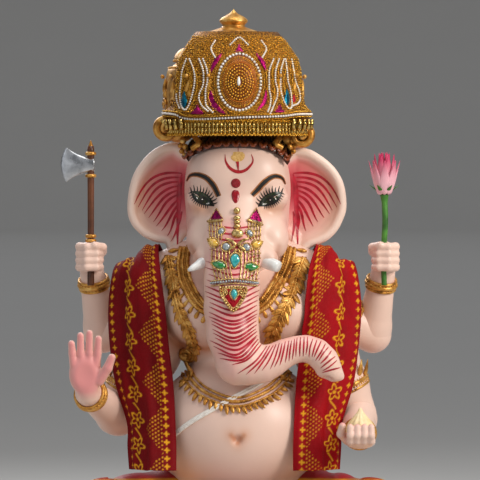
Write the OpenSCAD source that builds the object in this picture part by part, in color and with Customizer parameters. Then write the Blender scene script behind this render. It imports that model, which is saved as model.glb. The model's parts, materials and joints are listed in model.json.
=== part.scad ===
// Seated elephant-headed deity figure, cast in plaster pieces round a wooden armature, dressed with a beaded
// crown cover, a jewelled trunk ornament and a printed shawl. It faces -Y, with its own left hand towards +X.

/* [Pedestal] */
// Overall width of the round-ended pedestal
pedestal_w = 460; // [456:2:480]
// Overall depth of the pedestal
pedestal_d = 320; // [320:2:340]
// Height of the seat above the floor
pedestal_h = 70; // [64:2:90]
// Number of petals in the ring round the pedestal
petal_count = 36; // [24:2:40]

/* [Castings] */
// Half width of the belly
belly_r = 108; // [100:1:110]
// Half width of the head, without the ears
head_r = 67; // [64:1:69]
// Wall left between the hollow inside the body and its skin
cast_wall = 26; // [22:1:30]
// Side of the square wooden post inside the body and the head
post_w = 22; // [18:1:24]

/* [Crown] */
// Radius of the cast crown at its brow band
crown_r = 84; // [82:1:85]
// Thickness of the beaded crown cover
cover_t = 4; // [3:0.5:5]
// Angle that the crown cover wraps round the front
cover_angle = 150; // [130:2:152]
// Radius of the medallion on the crown cover
medallion_r = 35; // [30:1:36]

/* [Hand-held pieces] */
// Radius of the axe's shaft and of the lotus stem
shaft_r = 4.5; // [4:0.25:5]
// Radial clearance of a shaft in its fist
shaft_gap = 0.4; // [0.3:0.1:0.5]

/* [Clearances] */
// Gap between castings that are fixed to each other
joint_gap = 0.3; // [0.2:0.05:0.5]

/* [Hidden] */
smooth = 18;  // facets round a cast limb

// The figure's own coordinates start on the seat, at the middle of the pedestal.
belly = [[0, -12, 140], [belly_r, 92, 92]];
chest = [[-4, 5, 285], [92, 66, 75]];
neck = [[-2, 6, 345], [56, 48, 44]];
hips = [[0, 4, 56], [112, 78, 56]];
shoulder = [106, 0, 296];
shoulder_r = 37;
thigh = [[[62, 0, 48], 48], [[168, -62, 40], 38]];
shin = [[[168, -66, 36], 34], [[30, -112, 24], 21]];
foot = [[[30, -112, 22], 20], [[-14, -126, 16], 14]];

skull = [[0, 0, 442], [head_r, 66, 98]];
cheeks = [[0, -8, 385], [62, 60, 50]];
// Trunk: points along its centre line, each with its radius, from the brow to the tip.
trunk = [[[-4, -44, 404], 36], [[-6, -66, 366], 36], [[-7, -82, 326], 33.5], [[-7.5, -92, 296], 33],
    [[-6, -98, 264], 31.5], [[2, -102, 230], 28.5], [[16, -104, 227], 24.5], [[31, -104, 226], 21],
    [[45, -103, 232], 18.5], [[59, -102, 240], 16.3], [[74, -101, 246], 14.5], [[87, -100, 247], 14],
    [[98, -99, 243], 15], [[106, -99, 235], 16.8], [[111, -99, 228], 18.5]];
tusk_root = [26, -58, 356];
tusk_tip = [60, -86, 340];

front_arm = [[[106, -2, 294], 36], [[132, 2, 224], 30], [[150, 5, 158], 26]];
offering_forearm = [[[150, 5, 155], 26], [[152, -92, 138], 17]];
blessing_forearm = [[[150, 5, 155], 26], [[186, -84, 190], 17]];
rear_arm = [[[92, 30, 305], 31], [[172, 48, 258], 24], [[184, 16, 336], 16]];
fist = [185, 2, 358];
shaft_y = -8;

crown_z = 507;
// Outline of the cast crown: radius and height, from the brow flange to the tip.
crown_line = [[0, 0], [crown_r - 4, 0], [crown_r - 2, 5], [crown_r, 22], [crown_r + 8, 30], [crown_r + 10, 36],
    [crown_r + 7, 60], [crown_r + 2, 84], [crown_r - 3, 90], [73, 96], [75, 102], [66, 112], [50, 119], [52, 125],
    [33, 134], [22, 138], [14, 142], [18, 147], [14, 153], [5, 157], [3, 163], [0, 163]];
cover_bottom = 511;
cover_z = [0, 18, 26, 33, 80, 96, 116, 130];
cover_r = [88, 88, 96, 98, 93, 88, 72, 58];
medallion_z = 576;

module on_seat() translate([0, 0, pedestal_h]) children();
module left_right(side) mirror([side < 0 ? 1 : 0, 0, 0]) children();
module ball(c, r, n = smooth) translate(c) sphere(r, $fn = n);
module egg(e, g = 0) translate(e[0]) hull() scale(e[1] + [g, g, g]) sphere(1, $fn = smooth + 8);
module limb(points, g = 0, n = smooth)
    for (i = [0 : len(points) - 2])
        hull() {
            ball(points[i][0], points[i][1] + g, n);
            ball(points[i + 1][0], points[i + 1][1] + g, n);
        }
// A prism that runs from front to back, drawn as seen from the front: x to the right and y upwards.
module from_front(y0 = -220, y1 = 0)
    translate([0, y1, 0]) rotate([90, 0, 0]) linear_extrude(y1 - y0) children();

module body_shape(g = 0) {
    egg(belly, g);
    egg(chest, g);
    egg(neck, g);
    egg(hips, g);
    hull() for (s = [-1, 1]) left_right(s) ball(shoulder, shoulder_r + g);
    for (s = [-1, 1])
        left_right(s) {
            limb(thigh, g);
            limb(shin, g);
            limb(foot, g);
        }
}
module head_shape(g = 0) {
    egg(skull, g);
    egg(cheeks, g);
    limb(trunk, g);
}
module arm_shape(forearm, g = 0) {
    limb(front_arm, g);
    limb(forearm, g);
}
module arms_shape(g = 0) {
    left_right(1) arm_shape(offering_forearm, g);
    left_right(-1) arm_shape(blessing_forearm, g);
}
module above_seat() translate([-300, -300, 0]) cube([600, 600, 800]);

// A raised skin that lies on the body or on the head, inside the outline that is given
// as seen from the front.
module body_relief(inner, outer, y0 = -220, y1 = 0)
    difference() {
        intersection() {
            union() {
                body_shape(outer);
            }
            from_front(y0, y1) children();
        }
        body_shape(inner);
        head_shape(joint_gap);
    }
module head_relief(inner, outer, y0 = -220, y1 = 0)
    difference() {
        intersection() {
            head_shape(outer);
            from_front(y0, y1) children();
        }
        head_shape(inner);
    }
module oval(c, rx, ry, turn = 0) translate(c) rotate(turn) scale([rx, ry]) circle(1, $fn = 24);
module band2d(points, w)
    for (i = [0 : len(points) - 2])
        hull() {
            translate(points[i]) circle(w / 2, $fn = 16);
            translate(points[i + 1]) circle(w / 2, $fn = 16);
        }
module almond(c, rx, ry, turn) translate(c) rotate(turn) scale([rx, ry]) polygon([for (a = [0 : 20 : 340])
    [cos(a), sin(a) * sqrt(abs(sin(a)))]]);

module stadium(w, d, h) {
    r = d / 2;
    translate([-(w / 2 - r), -r, 0]) cube([w - d, d, h]);
    for (s = [-1, 1]) translate([s * (w / 2 - r), 0, 0]) cylinder(h = h, r = r, $fn = 96);
}

// ---- Pedestal ----
plinth_h = 14;
rim_h = 12;
waist_in = 13;
module pedestal() color("goldenrod")
    difference() {
        union() {
            stadium(pedestal_w, pedestal_d, plinth_h);
            translate([0, 0, plinth_h]) stadium(pedestal_w - 2 * waist_in, pedestal_d - 2 * waist_in,
                pedestal_h - plinth_h - rim_h);
            translate([0, 0, pedestal_h - rim_h]) stadium(pedestal_w - 8, pedestal_d - 8, rim_h);
        }
        translate([-post_w / 2 - 1, -post_w / 2 - 1, pedestal_h - 30]) cube([post_w + 2, post_w + 2, 31]);
    }

petal_h = pedestal_h - plinth_h - rim_h - 2;
waist_r = pedestal_d / 2 - waist_in;
waist_straight = pedestal_w - pedestal_d;
waist_round = 3.14159 * waist_r;
// Place and outward angle at a distance s round the waist, starting at the middle of the front.
function on_waist(s) =
    let (half = waist_straight / 2)
    s < half ? [s, -waist_r, -90]
    : s < half + waist_round ? let (a = (s - half) / waist_r * 57.29578 - 90)
        [half + waist_r * cos(a), waist_r * sin(a), a]
    : s < 3 * half + waist_round ? [2 * half - s + waist_round, waist_r, 90]
    : s < 3 * half + 2 * waist_round ? let (a = (s - 3 * half - waist_round) / waist_r * 57.29578 + 90)
        [-half + waist_r * cos(a), waist_r * sin(a), a]
    : [s - 4 * half - 2 * waist_round, -waist_r, -90];
// A lotus petal, standing on its point: rounded below and drawn out to a tip above.
module petal(w) intersection() {
    rotate([90, 0, 90]) linear_extrude(9) polygon([
        for (t = [0 : 0.125 : 1]) [w * 0.46 * sin(180 * pow(t, 0.8)), petal_h * t],
        for (t = [0.875 : -0.125 : 0.125]) [-w * 0.46 * sin(180 * pow(t, 0.8)), petal_h * t]
    ]);
    rotate([90, 0, 0]) linear_extrude(80, center = true) polygon([[-1, 0], [2, 0], [5, petal_h * 0.4],
        [9, petal_h], [-1, petal_h]]);
}
module pedestal_petals() color("indianred")
    for (i = [0 : petal_count - 1]) {
        around = 2 * waist_straight + 2 * waist_round;
        p = on_waist((i + 0.5) * around / petal_count);
        difference() {
            translate([p[0], p[1], plinth_h + 1]) rotate(p[2]) petal(around / petal_count);
            translate([0, 0, plinth_h])
                stadium(pedestal_w - 2 * waist_in + 0.4, pedestal_d - 2 * waist_in + 0.4,
                petal_h + 20);
        }
    }

// ---- Armature ----
post_bottom = -29;
post_top = 438;
bar_w = 14;
bar_y = post_w / 2 + 1 + bar_w / 2;
module core_post() color("burlywood") on_seat()
    translate([-post_w / 2, -post_w / 2, post_bottom]) cube([post_w, post_w, post_top - post_bottom]);
module shoulder_bar() color("burlywood") on_seat()
    translate([-118, bar_y - bar_w / 2, shoulder[2] - bar_w / 2]) cube([236, bar_w, bar_w]);
module armature_channels() {
    translate([-post_w / 2 - 1, -post_w / 2 - 1, -1]) cube([post_w + 2, post_w + 2, post_top + 3]);
    translate([-119, bar_y - bar_w / 2 - 1, shoulder[2] - bar_w / 2 - 1]) cube([238, bar_w + 2, bar_w + 2]);
}

// ---- Castings ----
module body_casting() color("mistyrose") on_seat() difference() {
    intersection() {
        body_shape();
        above_seat();
    }
    egg(belly, -cast_wall);
    hull() {
        translate([0, 0, 90]) cylinder(h = 20, r = 60, $fn = 32);
        translate([0, 0, -1]) cylinder(h = 2, r = 52, $fn = 32);
    }
    armature_channels();
}
module head_casting() color("mistyrose") on_seat() difference() {
    head_shape();
    body_shape(joint_gap);
    armature_channels();
}
// Ear: balls along its rim, the helix above and the lobe below.
ear_rim = [[62, 6, 486], [86, 4, 490], [105, 4, 481], [119, 6, 463], [129, 8, 441], [134, 9, 420], [130, 9, 401],
    [117, 7, 384], [100, 5, 377]];
ear_lobe = [[62, 6, 400], [100, 5, 382], [90, 2, 366], [80, 0, 358], [66, 2, 364]];
module ear_shape(g = 0) {
    hull() for (p = ear_rim) ball(p, 5 + g);
    hull() for (p = concat(ear_lobe, [ear_rim[0]])) ball(p, 5 + g);
}
module ear(side) color("mistyrose") on_seat() difference() {
    left_right(side) ear_shape();
    head_shape(joint_gap);
    body_shape(joint_gap);
}
module left_ear() ear(1);
module right_ear() ear(-1);

module whole_tusk() color("white") on_seat() difference() {
    left_right(-1) limb([[tusk_root, 8.5], [tusk_tip, 4.5]]);
    head_shape(joint_gap);
    body_shape(joint_gap);
}
module broken_tusk() color("white") on_seat() difference() {
    limb([[tusk_root, 9], [tusk_tip, 7.5]]);
    head_shape(joint_gap);
    body_shape(joint_gap);
    translate(tusk_tip) rotate([0, 20, 0]) translate([-7, -30, -30]) cube([40, 60, 60]);
}
module hair_fringe() color("saddlebrown") on_seat() difference() {
    intersection() {
        egg(skull, 8);
        translate([0, 0, crown_z - 32]) cylinder(h = 31.5, r = 90, $fn = 48);
        // The hairline arches over the brow.
        union() {
            from_front(-220, 0) difference() {
                translate([-90, 470]) square([180, 40]);
                translate([0, 400]) scale([1, 0.93]) circle(101, $fn = 64);
            }
            translate([-90, 0, 450]) cube([180, 90, 60]);
        }
    }
    egg(skull, joint_gap);
    for (s = [-1, 1]) left_right(s) ear_shape(joint_gap);
}
module crown_casting() color("gold") on_seat() difference() {
    translate([0, 0, crown_z]) rotate_extrude($fn = 96) polygon(crown_line);
    // The mouth fits round the top of the head, and the crown is hollow above it.
    translate(skull[0]) rotate_extrude($fn = 64) intersection() {
        scale([skull[1][0] + joint_gap, skull[1][2] + joint_gap]) circle(1, $fn = 96);
        translate([0, -100]) square([100, 210]);
    }
    translate([0, 0, crown_z + 9]) cylinder(h = 82, r1 = crown_r - 18, r2 = 58, $fn = 64);
}
scroll_x = 93;
scroll_z = 519;
scroll_r = 17;
module crown_scrolls() color("gold") on_seat() for (s = [-1, 1]) difference() {
    left_right(s) translate([scroll_x, 9, scroll_z]) rotate([90, 0, 0]) union() {
        difference() {
            cylinder(h = 18, r = scroll_r, $fn = 48);
            translate([0, 0, 13]) cylinder(h = 6, r = scroll_r - 4, $fn = 48);
        }
        cylinder(h = 19, r = 6, $fn = 48);
    }
    translate([0, 0, crown_z]) rotate_extrude($fn = 96)
            polygon([[0, -30], [crown_r, -30], [crown_r + joint_gap, 22.1],
        [crown_r + 8 + joint_gap, 30.1], [crown_r + 10 + joint_gap, 36], [crown_r + 7, 60], [0, 60]]);
}
module front_arm_casting(side, forearm) color("mistyrose") on_seat() difference() {
    left_right(side) arm_shape(forearm);
    body_shape(joint_gap);
}
module left_front_arm() front_arm_casting(1, offering_forearm);
module right_front_arm() front_arm_casting(-1, blessing_forearm);
module rear_arm_casting(side) color("mistyrose") on_seat() difference() {
    left_right(side) limb(rear_arm);
    body_shape(joint_gap);
    arms_shape(joint_gap);
    left_right(side) fist_block(joint_gap);
}
module left_rear_arm() rear_arm_casting(1);
module right_rear_arm() rear_arm_casting(-1);

// ---- Hands ----
fist_size = [36, 44, 40];
module fist_block(g = 0) translate(fist) intersection() {
    cube(fist_size + [2 * g, 2 * g, 2 * g], center = true);
    cylinder(h = 60, r = 25 + g, center = true, $fn = 64);
    rotate([0, 90, 0]) cylinder(h = 60, r = 26 + g, center = true, $fn = 64);
}
module fist_hand(side) color("mistyrose") on_seat() left_right(side) difference() {
    fist_block();
    translate([fist[0], shaft_y, fist[2] - 40]) cylinder(h = 80, r = shaft_r + shaft_gap, $fn = 48);
}
module lotus_fist() fist_hand(1);
module axe_fist() fist_hand(-1);

sweet_at = [152, -127, 137.8];
finger_x = [-15, -5, 5, 14];
finger_h = [24, 30, 28, 20];
module digit(points) limb(points, 0, 10);
module palm(corner, x, y, z) hull() for (dx = x, dy = y, dz = z) ball(corner + [dx, dy, dz], 7.5, 14);
module blessing_palm(corner = [-189, -97, 192]) palm(corner, [-15, 14], [0], [10, 40]);
module blessing_hand() color("mistyrose") on_seat() difference() {
    union() {
        blessing_palm();
        for (i = [0 : 3]) digit([[[-189 + finger_x[i], -97, 232], 5.5],
            [[-189 + finger_x[i] * 1.1, -99, 240 + finger_h[i]], 4.5]]);
        digit([[[-172, -98, 210], 6.5], [[-158, -103, 226], 5.5], [[-155, -106, 238], 4.5]]);
    }
    left_right(-1) arm_shape(blessing_forearm, joint_gap);
}
module offering_hand() color("mistyrose") on_seat() difference() {
    union() {
        palm([152, -112, 130], [-15, 14], [0, -26], [0]);
        for (i = [0 : 3]) digit([[[152 + finger_x[i], -138, 131], 5.5], [[152 + finger_x[i], -152, 141], 5],
            [[152 + finger_x[i], -153, 152], 4.5]]);
        digit([[[136, -110, 132], 6.5], [[128, -120, 142], 5.5], [[130, -126, 152], 4.5]]);
    }
    arm_shape(offering_forearm, joint_gap);
    translate(sweet_at - [0, 0, joint_gap]) cylinder(h = 60, r = 17.4, $fn = 48);
}
module modak() color("antiquewhite") on_seat() translate(sweet_at)
    rotate_extrude($fn = 64)
        polygon([[0, 0], [12, 0], [16, 5], [17, 11], [15.5, 17], [11, 23], [5, 28], [2, 33], [0, 36]]);

// ---- Cast relief jewellery ----
module collar_2d() difference() {
    oval([-3, 372], 84, 104);
    oval([-3, 372], 62, 80);
}
module collar_necklace() color("goldenrod") on_seat() body_relief(joint_gap, 5) collar_2d();
garland_left = [[82, 352], [74, 321], [65, 291], [50, 264], [44, 250]];
garland_right = [[-97, 352], [-91, 328], [-84, 296], [-70, 261], [-64, 246]];
festoon = [
    [-67, 226], [-56, 205], [-42, 189], [-22, 176], [0, 171], [22, 176], [40, 187], [54, 203], [63, 221]
];
module garland_2d() {
    band2d(garland_left, 24);
    band2d(garland_right, 24);
}
module leaf_garland() color("goldenrod") on_seat() body_relief(joint_gap, 5, -220, 10) difference() {
    garland_2d();
    oval([-3, 372], 84.3, 104.3);
    clasp_2d(joint_gap);
}
module clasp_2d(g = 0) for (p = [[-63, 236], [52, 236]]) oval(p, 12 + g, 12 + g);
module garland_clasps() color("goldenrod") on_seat() body_relief(joint_gap, 7) difference() {
    clasp_2d();
    oval([-3, 372], 84.3, 104.3);
}
module lower_festoon() color("goldenrod") on_seat() body_relief(joint_gap, 5, -220, -20) difference() {
    band2d(festoon, 18);
    clasp_2d(joint_gap);
}
thread_line = [[92, 262], [60, 226], [30, 203], [-18, 178], [-60, 152], [-94, 122]];
module sacred_thread() color("ivory") on_seat() difference() {
    body_relief(joint_gap, 3) difference() {
        band2d(thread_line, 6);
        offset(0.3) band2d(festoon, 18);
        clasp_2d(joint_gap);
        offset(0.3) garland_2d();
    }
    arms_shape(joint_gap);
}
// A sleeve round a limb, between two planes across it.
sleeve_r = 40;
module sleeve(points, at, along, h, inner, outer) difference() {
    intersection() {
        limb(points, outer);
        multmatrix(frame_along(at, along)) cylinder(h = h, r = sleeve_r, center = true, $fn = 48);
    }
    limb(points, inner);
}
function unit(v) = v / norm(v);
function frame_along(at, along) =
    let (z = unit(along), x = unit(cross([0, 1, 0.01], z)), y = cross(z, x))
    [[x[0], y[0], z[0], at[0]], [x[1], y[1], z[1], at[1]], [x[2], y[2], z[2], at[2]], [0, 0, 0, 1]];
module armlets() color("goldenrod") on_seat() difference() {
    for (s = [-1, 1]) {
        left_right(s) sleeve(front_arm, [140, 3, 196], [18, 3, -66], 18, joint_gap, 5);
        left_right(s) sleeve(rear_arm, [140, 41, 277], [80, 18, -47], 16, joint_gap, 5);
    }
    body_shape(joint_gap);
    arms_shape(joint_gap);
}
module bangles() color("goldenrod") on_seat() difference() {
    union() {
        left_right(1) sleeve(offering_forearm, [152, -84, 139], [2, -97, -17], 14, joint_gap, 5);
        left_right(-1) sleeve(blessing_forearm, [183, -76, 187], [36, -89, 35], 14, joint_gap, 5);
        for (s = [-1, 1]) left_right(s) sleeve(rear_arm, [182, 21, 324], [12, -32, 78], 12, joint_gap, 5);
    }
    blessing_palm();
    for (s = [-1, 1]) left_right(s) fist_block(joint_gap);
}
module anklets() color("goldenrod") on_seat() difference() {
    for (s = [-1, 1]) left_right(s) sleeve(shin, [52, -105, 26], [138, 46, 12], 14, joint_gap, 5);
    body_shape(joint_gap);
    translate([-300, -300, -100]) cube([600, 600, 100 + joint_gap]);
}
module forehead_bindi() color("darkred") on_seat() head_relief(joint_gap, 2.2) {
    oval([-2.5, 451], 5.8, 5.8);
    oval([-2.5, 435.5], 5.8, 11.5);
}

// ---- Shawl ----
shawl_in = 6.5;
shawl_out = 11.5;
module shawl_shape(g) {
    body_shape(g);
    for (s = [-1, 1]) left_right(s) limb(front_arm, g);
}
module shawl_2d() {
    polygon([[88, 345], [92, 360], [150, 345], [150, 190], [134, 170], [130, 96], [70, 100], [72, 190], [78, 240],
        [86, 290]]);
    polygon([[-96, 345], [-100, 360], [-150, 345], [-150, 190], [-134, 170], [-130, 96], [-86, 100], [-96, 190],
        [-98, 260]]);
}
module shawl() color("crimson") on_seat() difference() {
    intersection() {
        shawl_shape(shawl_out);
        union() {
            from_front(-220, 6) shawl_2d();
            translate([-150, 5, 262]) cube([300, 120, 82]);
        }
    }
    shawl_shape(shawl_in);
    arms_shape(joint_gap);
    head_shape(joint_gap);
    for (s = [-1, 1]) left_right(s) {
        ear_shape(joint_gap);
        limb(rear_arm, joint_gap);
        sleeve(rear_arm, [140, 41, 277], [80, 18, -47], 20, 0, 6);
    }
    translate([0, 0, 352]) cube([128, 130, 60], center = true);
}

// ---- Crown cover ----
cover_in = -1.5;
cover_out = cover_t + cover_in;
function cover_edge(g) = [for (i = [0 : len(cover_z) - 1]) [cover_r[i] + g, cover_z[i]]];
function cover_edge_down(g) = [for (i = [len(cover_z) - 1 : -1 : 0]) [cover_r[i] + g, cover_z[i]]];
module round_front(angle) translate([0, 0, cover_bottom]) rotate(-90 - angle / 2)
    rotate_extrude(angle = angle, $fn = 96) children();
module crown_cover_shell() color("gold") on_seat() round_front(cover_angle)
    polygon(concat(cover_edge(cover_out), cover_edge_down(cover_in)));
// The pearl cord lies on the slope above the fringe band.
pearl_cord = [cover_r[0] + cover_out + 6.4, cover_z[1] + 4];
module crown_cover_pearls() color("ivory") on_seat() round_front(cover_angle - 2)
    translate(pearl_cord) circle(1.5, $fn = 24);
module crown_cover_fringe() color("gold") on_seat() round_front(cover_angle - 2)
    translate([cover_r[0] + cover_out + 0.1, -3]) square([3.5, cover_z[1] + 2.8]);
module crown_cover_medallion() color("orange") on_seat() difference() {
    translate([0, -cover_r[1] - cover_t - 11, medallion_z]) rotate([-90, 0, 0])
        cylinder(h = 40, r = medallion_r - 2, $fn = 64);
    translate([0, 0, cover_bottom]) rotate_extrude($fn = 96)
        polygon(concat([[0, 0]], cover_edge(cover_out + 0.15), [[0, cover_z[len(cover_z) - 1]]]));
}

// ---- Trunk ornament ----
jewel_in = 0.5;
jewel_out = 2.6;
jewel_back = -66;
module jewel_skin(inner, outer) head_relief(inner, outer, -220, jewel_back) children();
module jewel_net() color("darkgoldenrod") on_seat() jewel_skin(jewel_in, jewel_out) for (s = [-1, 1])
    translate([s * 23 - 6, 0]) polygon([[-7, 328], [7, 328], [9, 404], [0, 412], [-9, 404]]);
module jewel_stem() color("darkgoldenrod") on_seat() jewel_skin(jewel_in, jewel_out + 1.5) {
    oval([-4, 416], 4.2, 4.2);
    oval([-4, 399], 6.5, 13);
    oval([-5, 386], 6.3, 6.3);
    translate([-10, 327.5]) square([10, 56]);
}
module jewel_bar() color("darkgoldenrod") on_seat() jewel_skin(jewel_in, jewel_out + 1)
    translate([-33, 322.4]) square([55, 4.8]);
module jewel_stones() color("seagreen") on_seat()
    jewel_skin(jewel_out + 0.1, jewel_out + 4) for (s = [-1, 1]) {
    almond([s * 23 - 5, 376], 9, 6, s * -20);
    almond([s * 19.5 - 6, 348], 10, 7.5, s * -12);
}
module jewel_drops() color("turquoise") on_seat() jewel_skin(jewel_out + 1.6, jewel_out + 5.5)
    oval([-5, 354], 5.5, 9);

// The pendant hangs from the bar and leans on the slope of the trunk.
pendant_top = [-5.5, -120.8, 320.4];
pendant_lean = 17.5;
pendant_t = 2.4;
module pendant_at(y0, t) translate(pendant_top) rotate([-pendant_lean, 0, 0])
    translate([0, -y0, 0]) rotate([90, 0, 0]) linear_extrude(t) children();
module pendant_plate() color("firebrick") on_seat() {
    pendant_at(-pendant_t / 2, pendant_t)
        polygon([[-20, 0], [-20, -9], [-14, -20], [-7, -27], [0, -31], [7, -27], [14, -20], [20, -9], [20, 0]]);
    // The wire loops at the top, on the line about which the pendant swings.
    translate(pendant_top) rotate([0, 90, 0])
        cylinder(h = 38, r = pendant_t / 2 + 0.4, center = true, $fn = 32);
}
module pendant_drop() color("turquoise") on_seat() pendant_at(pendant_t / 2, 2)
    polygon([for (a = [0 : 20 : 340]) [4.4 * cos(a), -11 + 7 * sin(a)]]);

// ---- Hand-held pieces ----
module axe_at() on_seat() left_right(-1) translate([fist[0], shaft_y, 0]) children();
module axe_shaft() color("saddlebrown") axe_at()
    translate([0, 0, 322]) cylinder(h = 176, r = shaft_r, $fn = 48);
module axe_collar() color("gold") axe_at()
    translate([0, 0, fist[2] + fist_size[2] / 2 + joint_gap]) difference() {
    cylinder(h = 6, r = shaft_r + 4, $fn = 48);
    translate([0, 0, -1]) cylinder(h = 8, r = shaft_r, $fn = 48);
}
module axe_blade() color("silver") axe_at() difference() {
    union() {
        translate([0, 3, 0]) rotate([90, 0, 0]) linear_extrude(6)
            polygon([[0, 462], [14, 462], [30, 452], [38, 462], [41, 474], [38, 486], [30, 496],
                [14, 486], [0, 486]]);
        translate([0, 0, 462]) cylinder(h = 24, r = shaft_r + 3, $fn = 48);
    }
    translate([0, 0, 450]) cylinder(h = 50, r = shaft_r, $fn = 48);
}
module lotus_at() on_seat() translate([fist[0], shaft_y, 0]) children();
module lotus_stem() color("olivedrab") lotus_at() {
    translate([0, 0, 322]) cylinder(h = 113, r = shaft_r, $fn = 48);
    translate([0, 0, fist[2] + fist_size[2] / 2 + joint_gap]) cylinder(h = 5, r = shaft_r + 3, $fn = 48);
}
module lotus_bud() color("hotpink") lotus_at() translate([0, 0, 435.1])
    rotate_extrude($fn = 64)
        polygon([[0, 0], [8, 1], [17, 7], [22, 16], [22, 26], [17, 37], [9, 47], [2, 53], [0, 54]]);

pedestal();
pedestal_petals();
body_casting();
core_post();
shoulder_bar();
head_casting();
left_ear();
right_ear();
whole_tusk();
broken_tusk();
hair_fringe();
crown_casting();
crown_scrolls();
left_front_arm();
right_front_arm();
left_rear_arm();
right_rear_arm();
offering_hand();
blessing_hand();
lotus_fist();
axe_fist();
collar_necklace();
leaf_garland();
garland_clasps();
lower_festoon();
sacred_thread();
armlets();
bangles();
anklets();
forehead_bindi();
shawl();
crown_cover_shell();
crown_cover_pearls();
crown_cover_fringe();
crown_cover_medallion();
jewel_net();
jewel_stem();
jewel_bar();
jewel_stones();
jewel_drops();
pendant_plate();
pendant_drop();
axe_shaft();
axe_blade();
axe_collar();
lotus_stem();
lotus_bud();
modak();
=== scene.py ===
"""Painted cast figure of a seated elephant-headed deity: the looks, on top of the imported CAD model."""
import json
import math

import bpy
import numpy as np
import openvdb as vdb
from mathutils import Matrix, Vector
from mathutils.bvhtree import BVHTree

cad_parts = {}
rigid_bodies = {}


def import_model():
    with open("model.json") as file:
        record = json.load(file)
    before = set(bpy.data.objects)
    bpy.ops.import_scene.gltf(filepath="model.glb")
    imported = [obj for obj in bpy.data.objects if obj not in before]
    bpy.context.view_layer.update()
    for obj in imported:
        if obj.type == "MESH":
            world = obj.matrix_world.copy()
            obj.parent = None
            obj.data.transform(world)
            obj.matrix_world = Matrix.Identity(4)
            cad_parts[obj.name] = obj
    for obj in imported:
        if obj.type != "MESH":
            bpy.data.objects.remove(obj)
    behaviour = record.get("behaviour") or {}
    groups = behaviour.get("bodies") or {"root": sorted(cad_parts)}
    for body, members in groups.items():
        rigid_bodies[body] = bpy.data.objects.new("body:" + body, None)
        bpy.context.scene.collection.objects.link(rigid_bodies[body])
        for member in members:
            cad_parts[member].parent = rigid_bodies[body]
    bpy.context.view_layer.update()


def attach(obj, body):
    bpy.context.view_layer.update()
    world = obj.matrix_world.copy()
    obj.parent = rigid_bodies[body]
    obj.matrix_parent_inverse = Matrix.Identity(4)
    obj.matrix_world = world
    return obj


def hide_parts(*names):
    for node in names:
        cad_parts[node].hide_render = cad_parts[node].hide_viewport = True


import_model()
SEAT = 70.0  # height of the seat above the floor, in millimetres
TAU = 2 * math.pi


# ---------------------------------------------------------------- numbers and meshes
def V(*p):
    return np.array(p, dtype=np.float64)


def unit(v):
    return v / (np.linalg.norm(v) + 1e-12)


def spline(points, count):
    """Points evenly spread by length along a smooth curve through the given ones."""
    p = np.array(points, dtype=np.float64)
    padded = np.vstack([2 * p[0] - p[1], p, 2 * p[-1] - p[-2]])
    fine = []
    for i in range(len(p) - 1):
        a, b, c, d = padded[i:i + 4]
        t = np.linspace(0, 1, 16, endpoint=False)[:, None]
        cubic = (3 * b - a - 3 * c + d) * t**3
        fine.append(0.5 * (2 * b + (c - a) * t + (2 * a - 5 * b + 4 * c - d) * t**2 + cubic))
    fine = np.vstack(fine + [p[-1:]])
    walk = np.concatenate([[0], np.cumsum(np.linalg.norm(np.diff(fine, axis=0), axis=1))])
    at = np.linspace(0, walk[-1], count)
    return np.stack([np.interp(at, walk, fine[:, k]) for k in range(p.shape[1])], axis=1)


def path_length(points):
    return float(np.linalg.norm(np.diff(np.array(points), axis=0), axis=1).sum())


class Heap:
    """Small shapes gathered into one mesh. Lengths are millimetres, measured from the middle of the seat."""

    def __init__(self):
        self.verts, self.faces, self.count = [], [], 0

    def put(self, verts, faces):
        self.verts.append(np.asarray(verts, dtype=np.float64))
        self.faces.append(np.asarray(faces, dtype=np.int64) + self.count)
        self.count += len(verts)

    def arrays(self):
        return np.vstack(self.verts), np.vstack(self.faces)


def build(name, verts, faces, material, body="idol", replaces=(), smooth=True, colours=None, slot=None):
    """A mesh piece from arrays of points and four-sided faces."""
    mesh = bpy.data.meshes.new(name)
    flat = (np.asarray(verts) + [0, 0, SEAT]) * 0.001
    mesh.vertices.add(len(flat))
    mesh.vertices.foreach_set("co", flat.astype(np.float32).ravel())
    mesh.loops.add(faces.size)
    mesh.loops.foreach_set("vertex_index", faces.astype(np.int32).ravel())
    mesh.polygons.add(len(faces))
    mesh.polygons.foreach_set("loop_start", np.arange(0, faces.size, 4, dtype=np.int32))
    mesh.update(calc_edges=True)
    mesh.validate()
    if smooth:
        mesh.polygons.foreach_set("use_smooth", np.ones(len(mesh.polygons), dtype=bool))
    if colours is not None:
        layer = mesh.attributes.new("paint", "FLOAT_COLOR", "POINT")
        rgba = np.ones((len(flat), 4), dtype=np.float32)
        rgba[:, :3] = colours
        layer.data.foreach_set("color", rgba.ravel())
    mesh.materials.append(material)
    obj = bpy.data.objects.new(name, mesh)
    bpy.context.scene.collection.objects.link(obj)
    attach(obj, body)
    if replaces:
        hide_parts(*replaces)
    return obj


def build_heap(name, heap, material, **options):
    verts, faces = heap.arrays()
    return build(name, verts, faces, material, **options)


def quad_ball(n):
    """A ball of four-sided faces: a cube whose sides have n by n squares, blown round."""
    verts, faces, index = [], [], {}
    steps = np.tan(np.linspace(-math.pi / 4, math.pi / 4, n + 1))
    for axis in range(3):
        for side in (-1, 1):
            grid = []
            for i in range(n + 1):
                for j in range(n + 1):
                    p = [0.0, 0.0, 0.0]
                    p[axis], p[(axis + 1) % 3], p[(axis + 2) % 3] = side, steps[i] * side, steps[j]
                    key = tuple(round(c, 5) for c in p)
                    if key not in index:
                        index[key] = len(verts)
                        verts.append(unit(np.array(p)))
                    grid.append(index[key])
            for i in range(n):
                for j in range(n):
                    k = i * (n + 1) + j
                    faces.append([grid[k], grid[k + n + 1], grid[k + n + 2], grid[k + 1]])
    return np.array(verts), np.array(faces)


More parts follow.
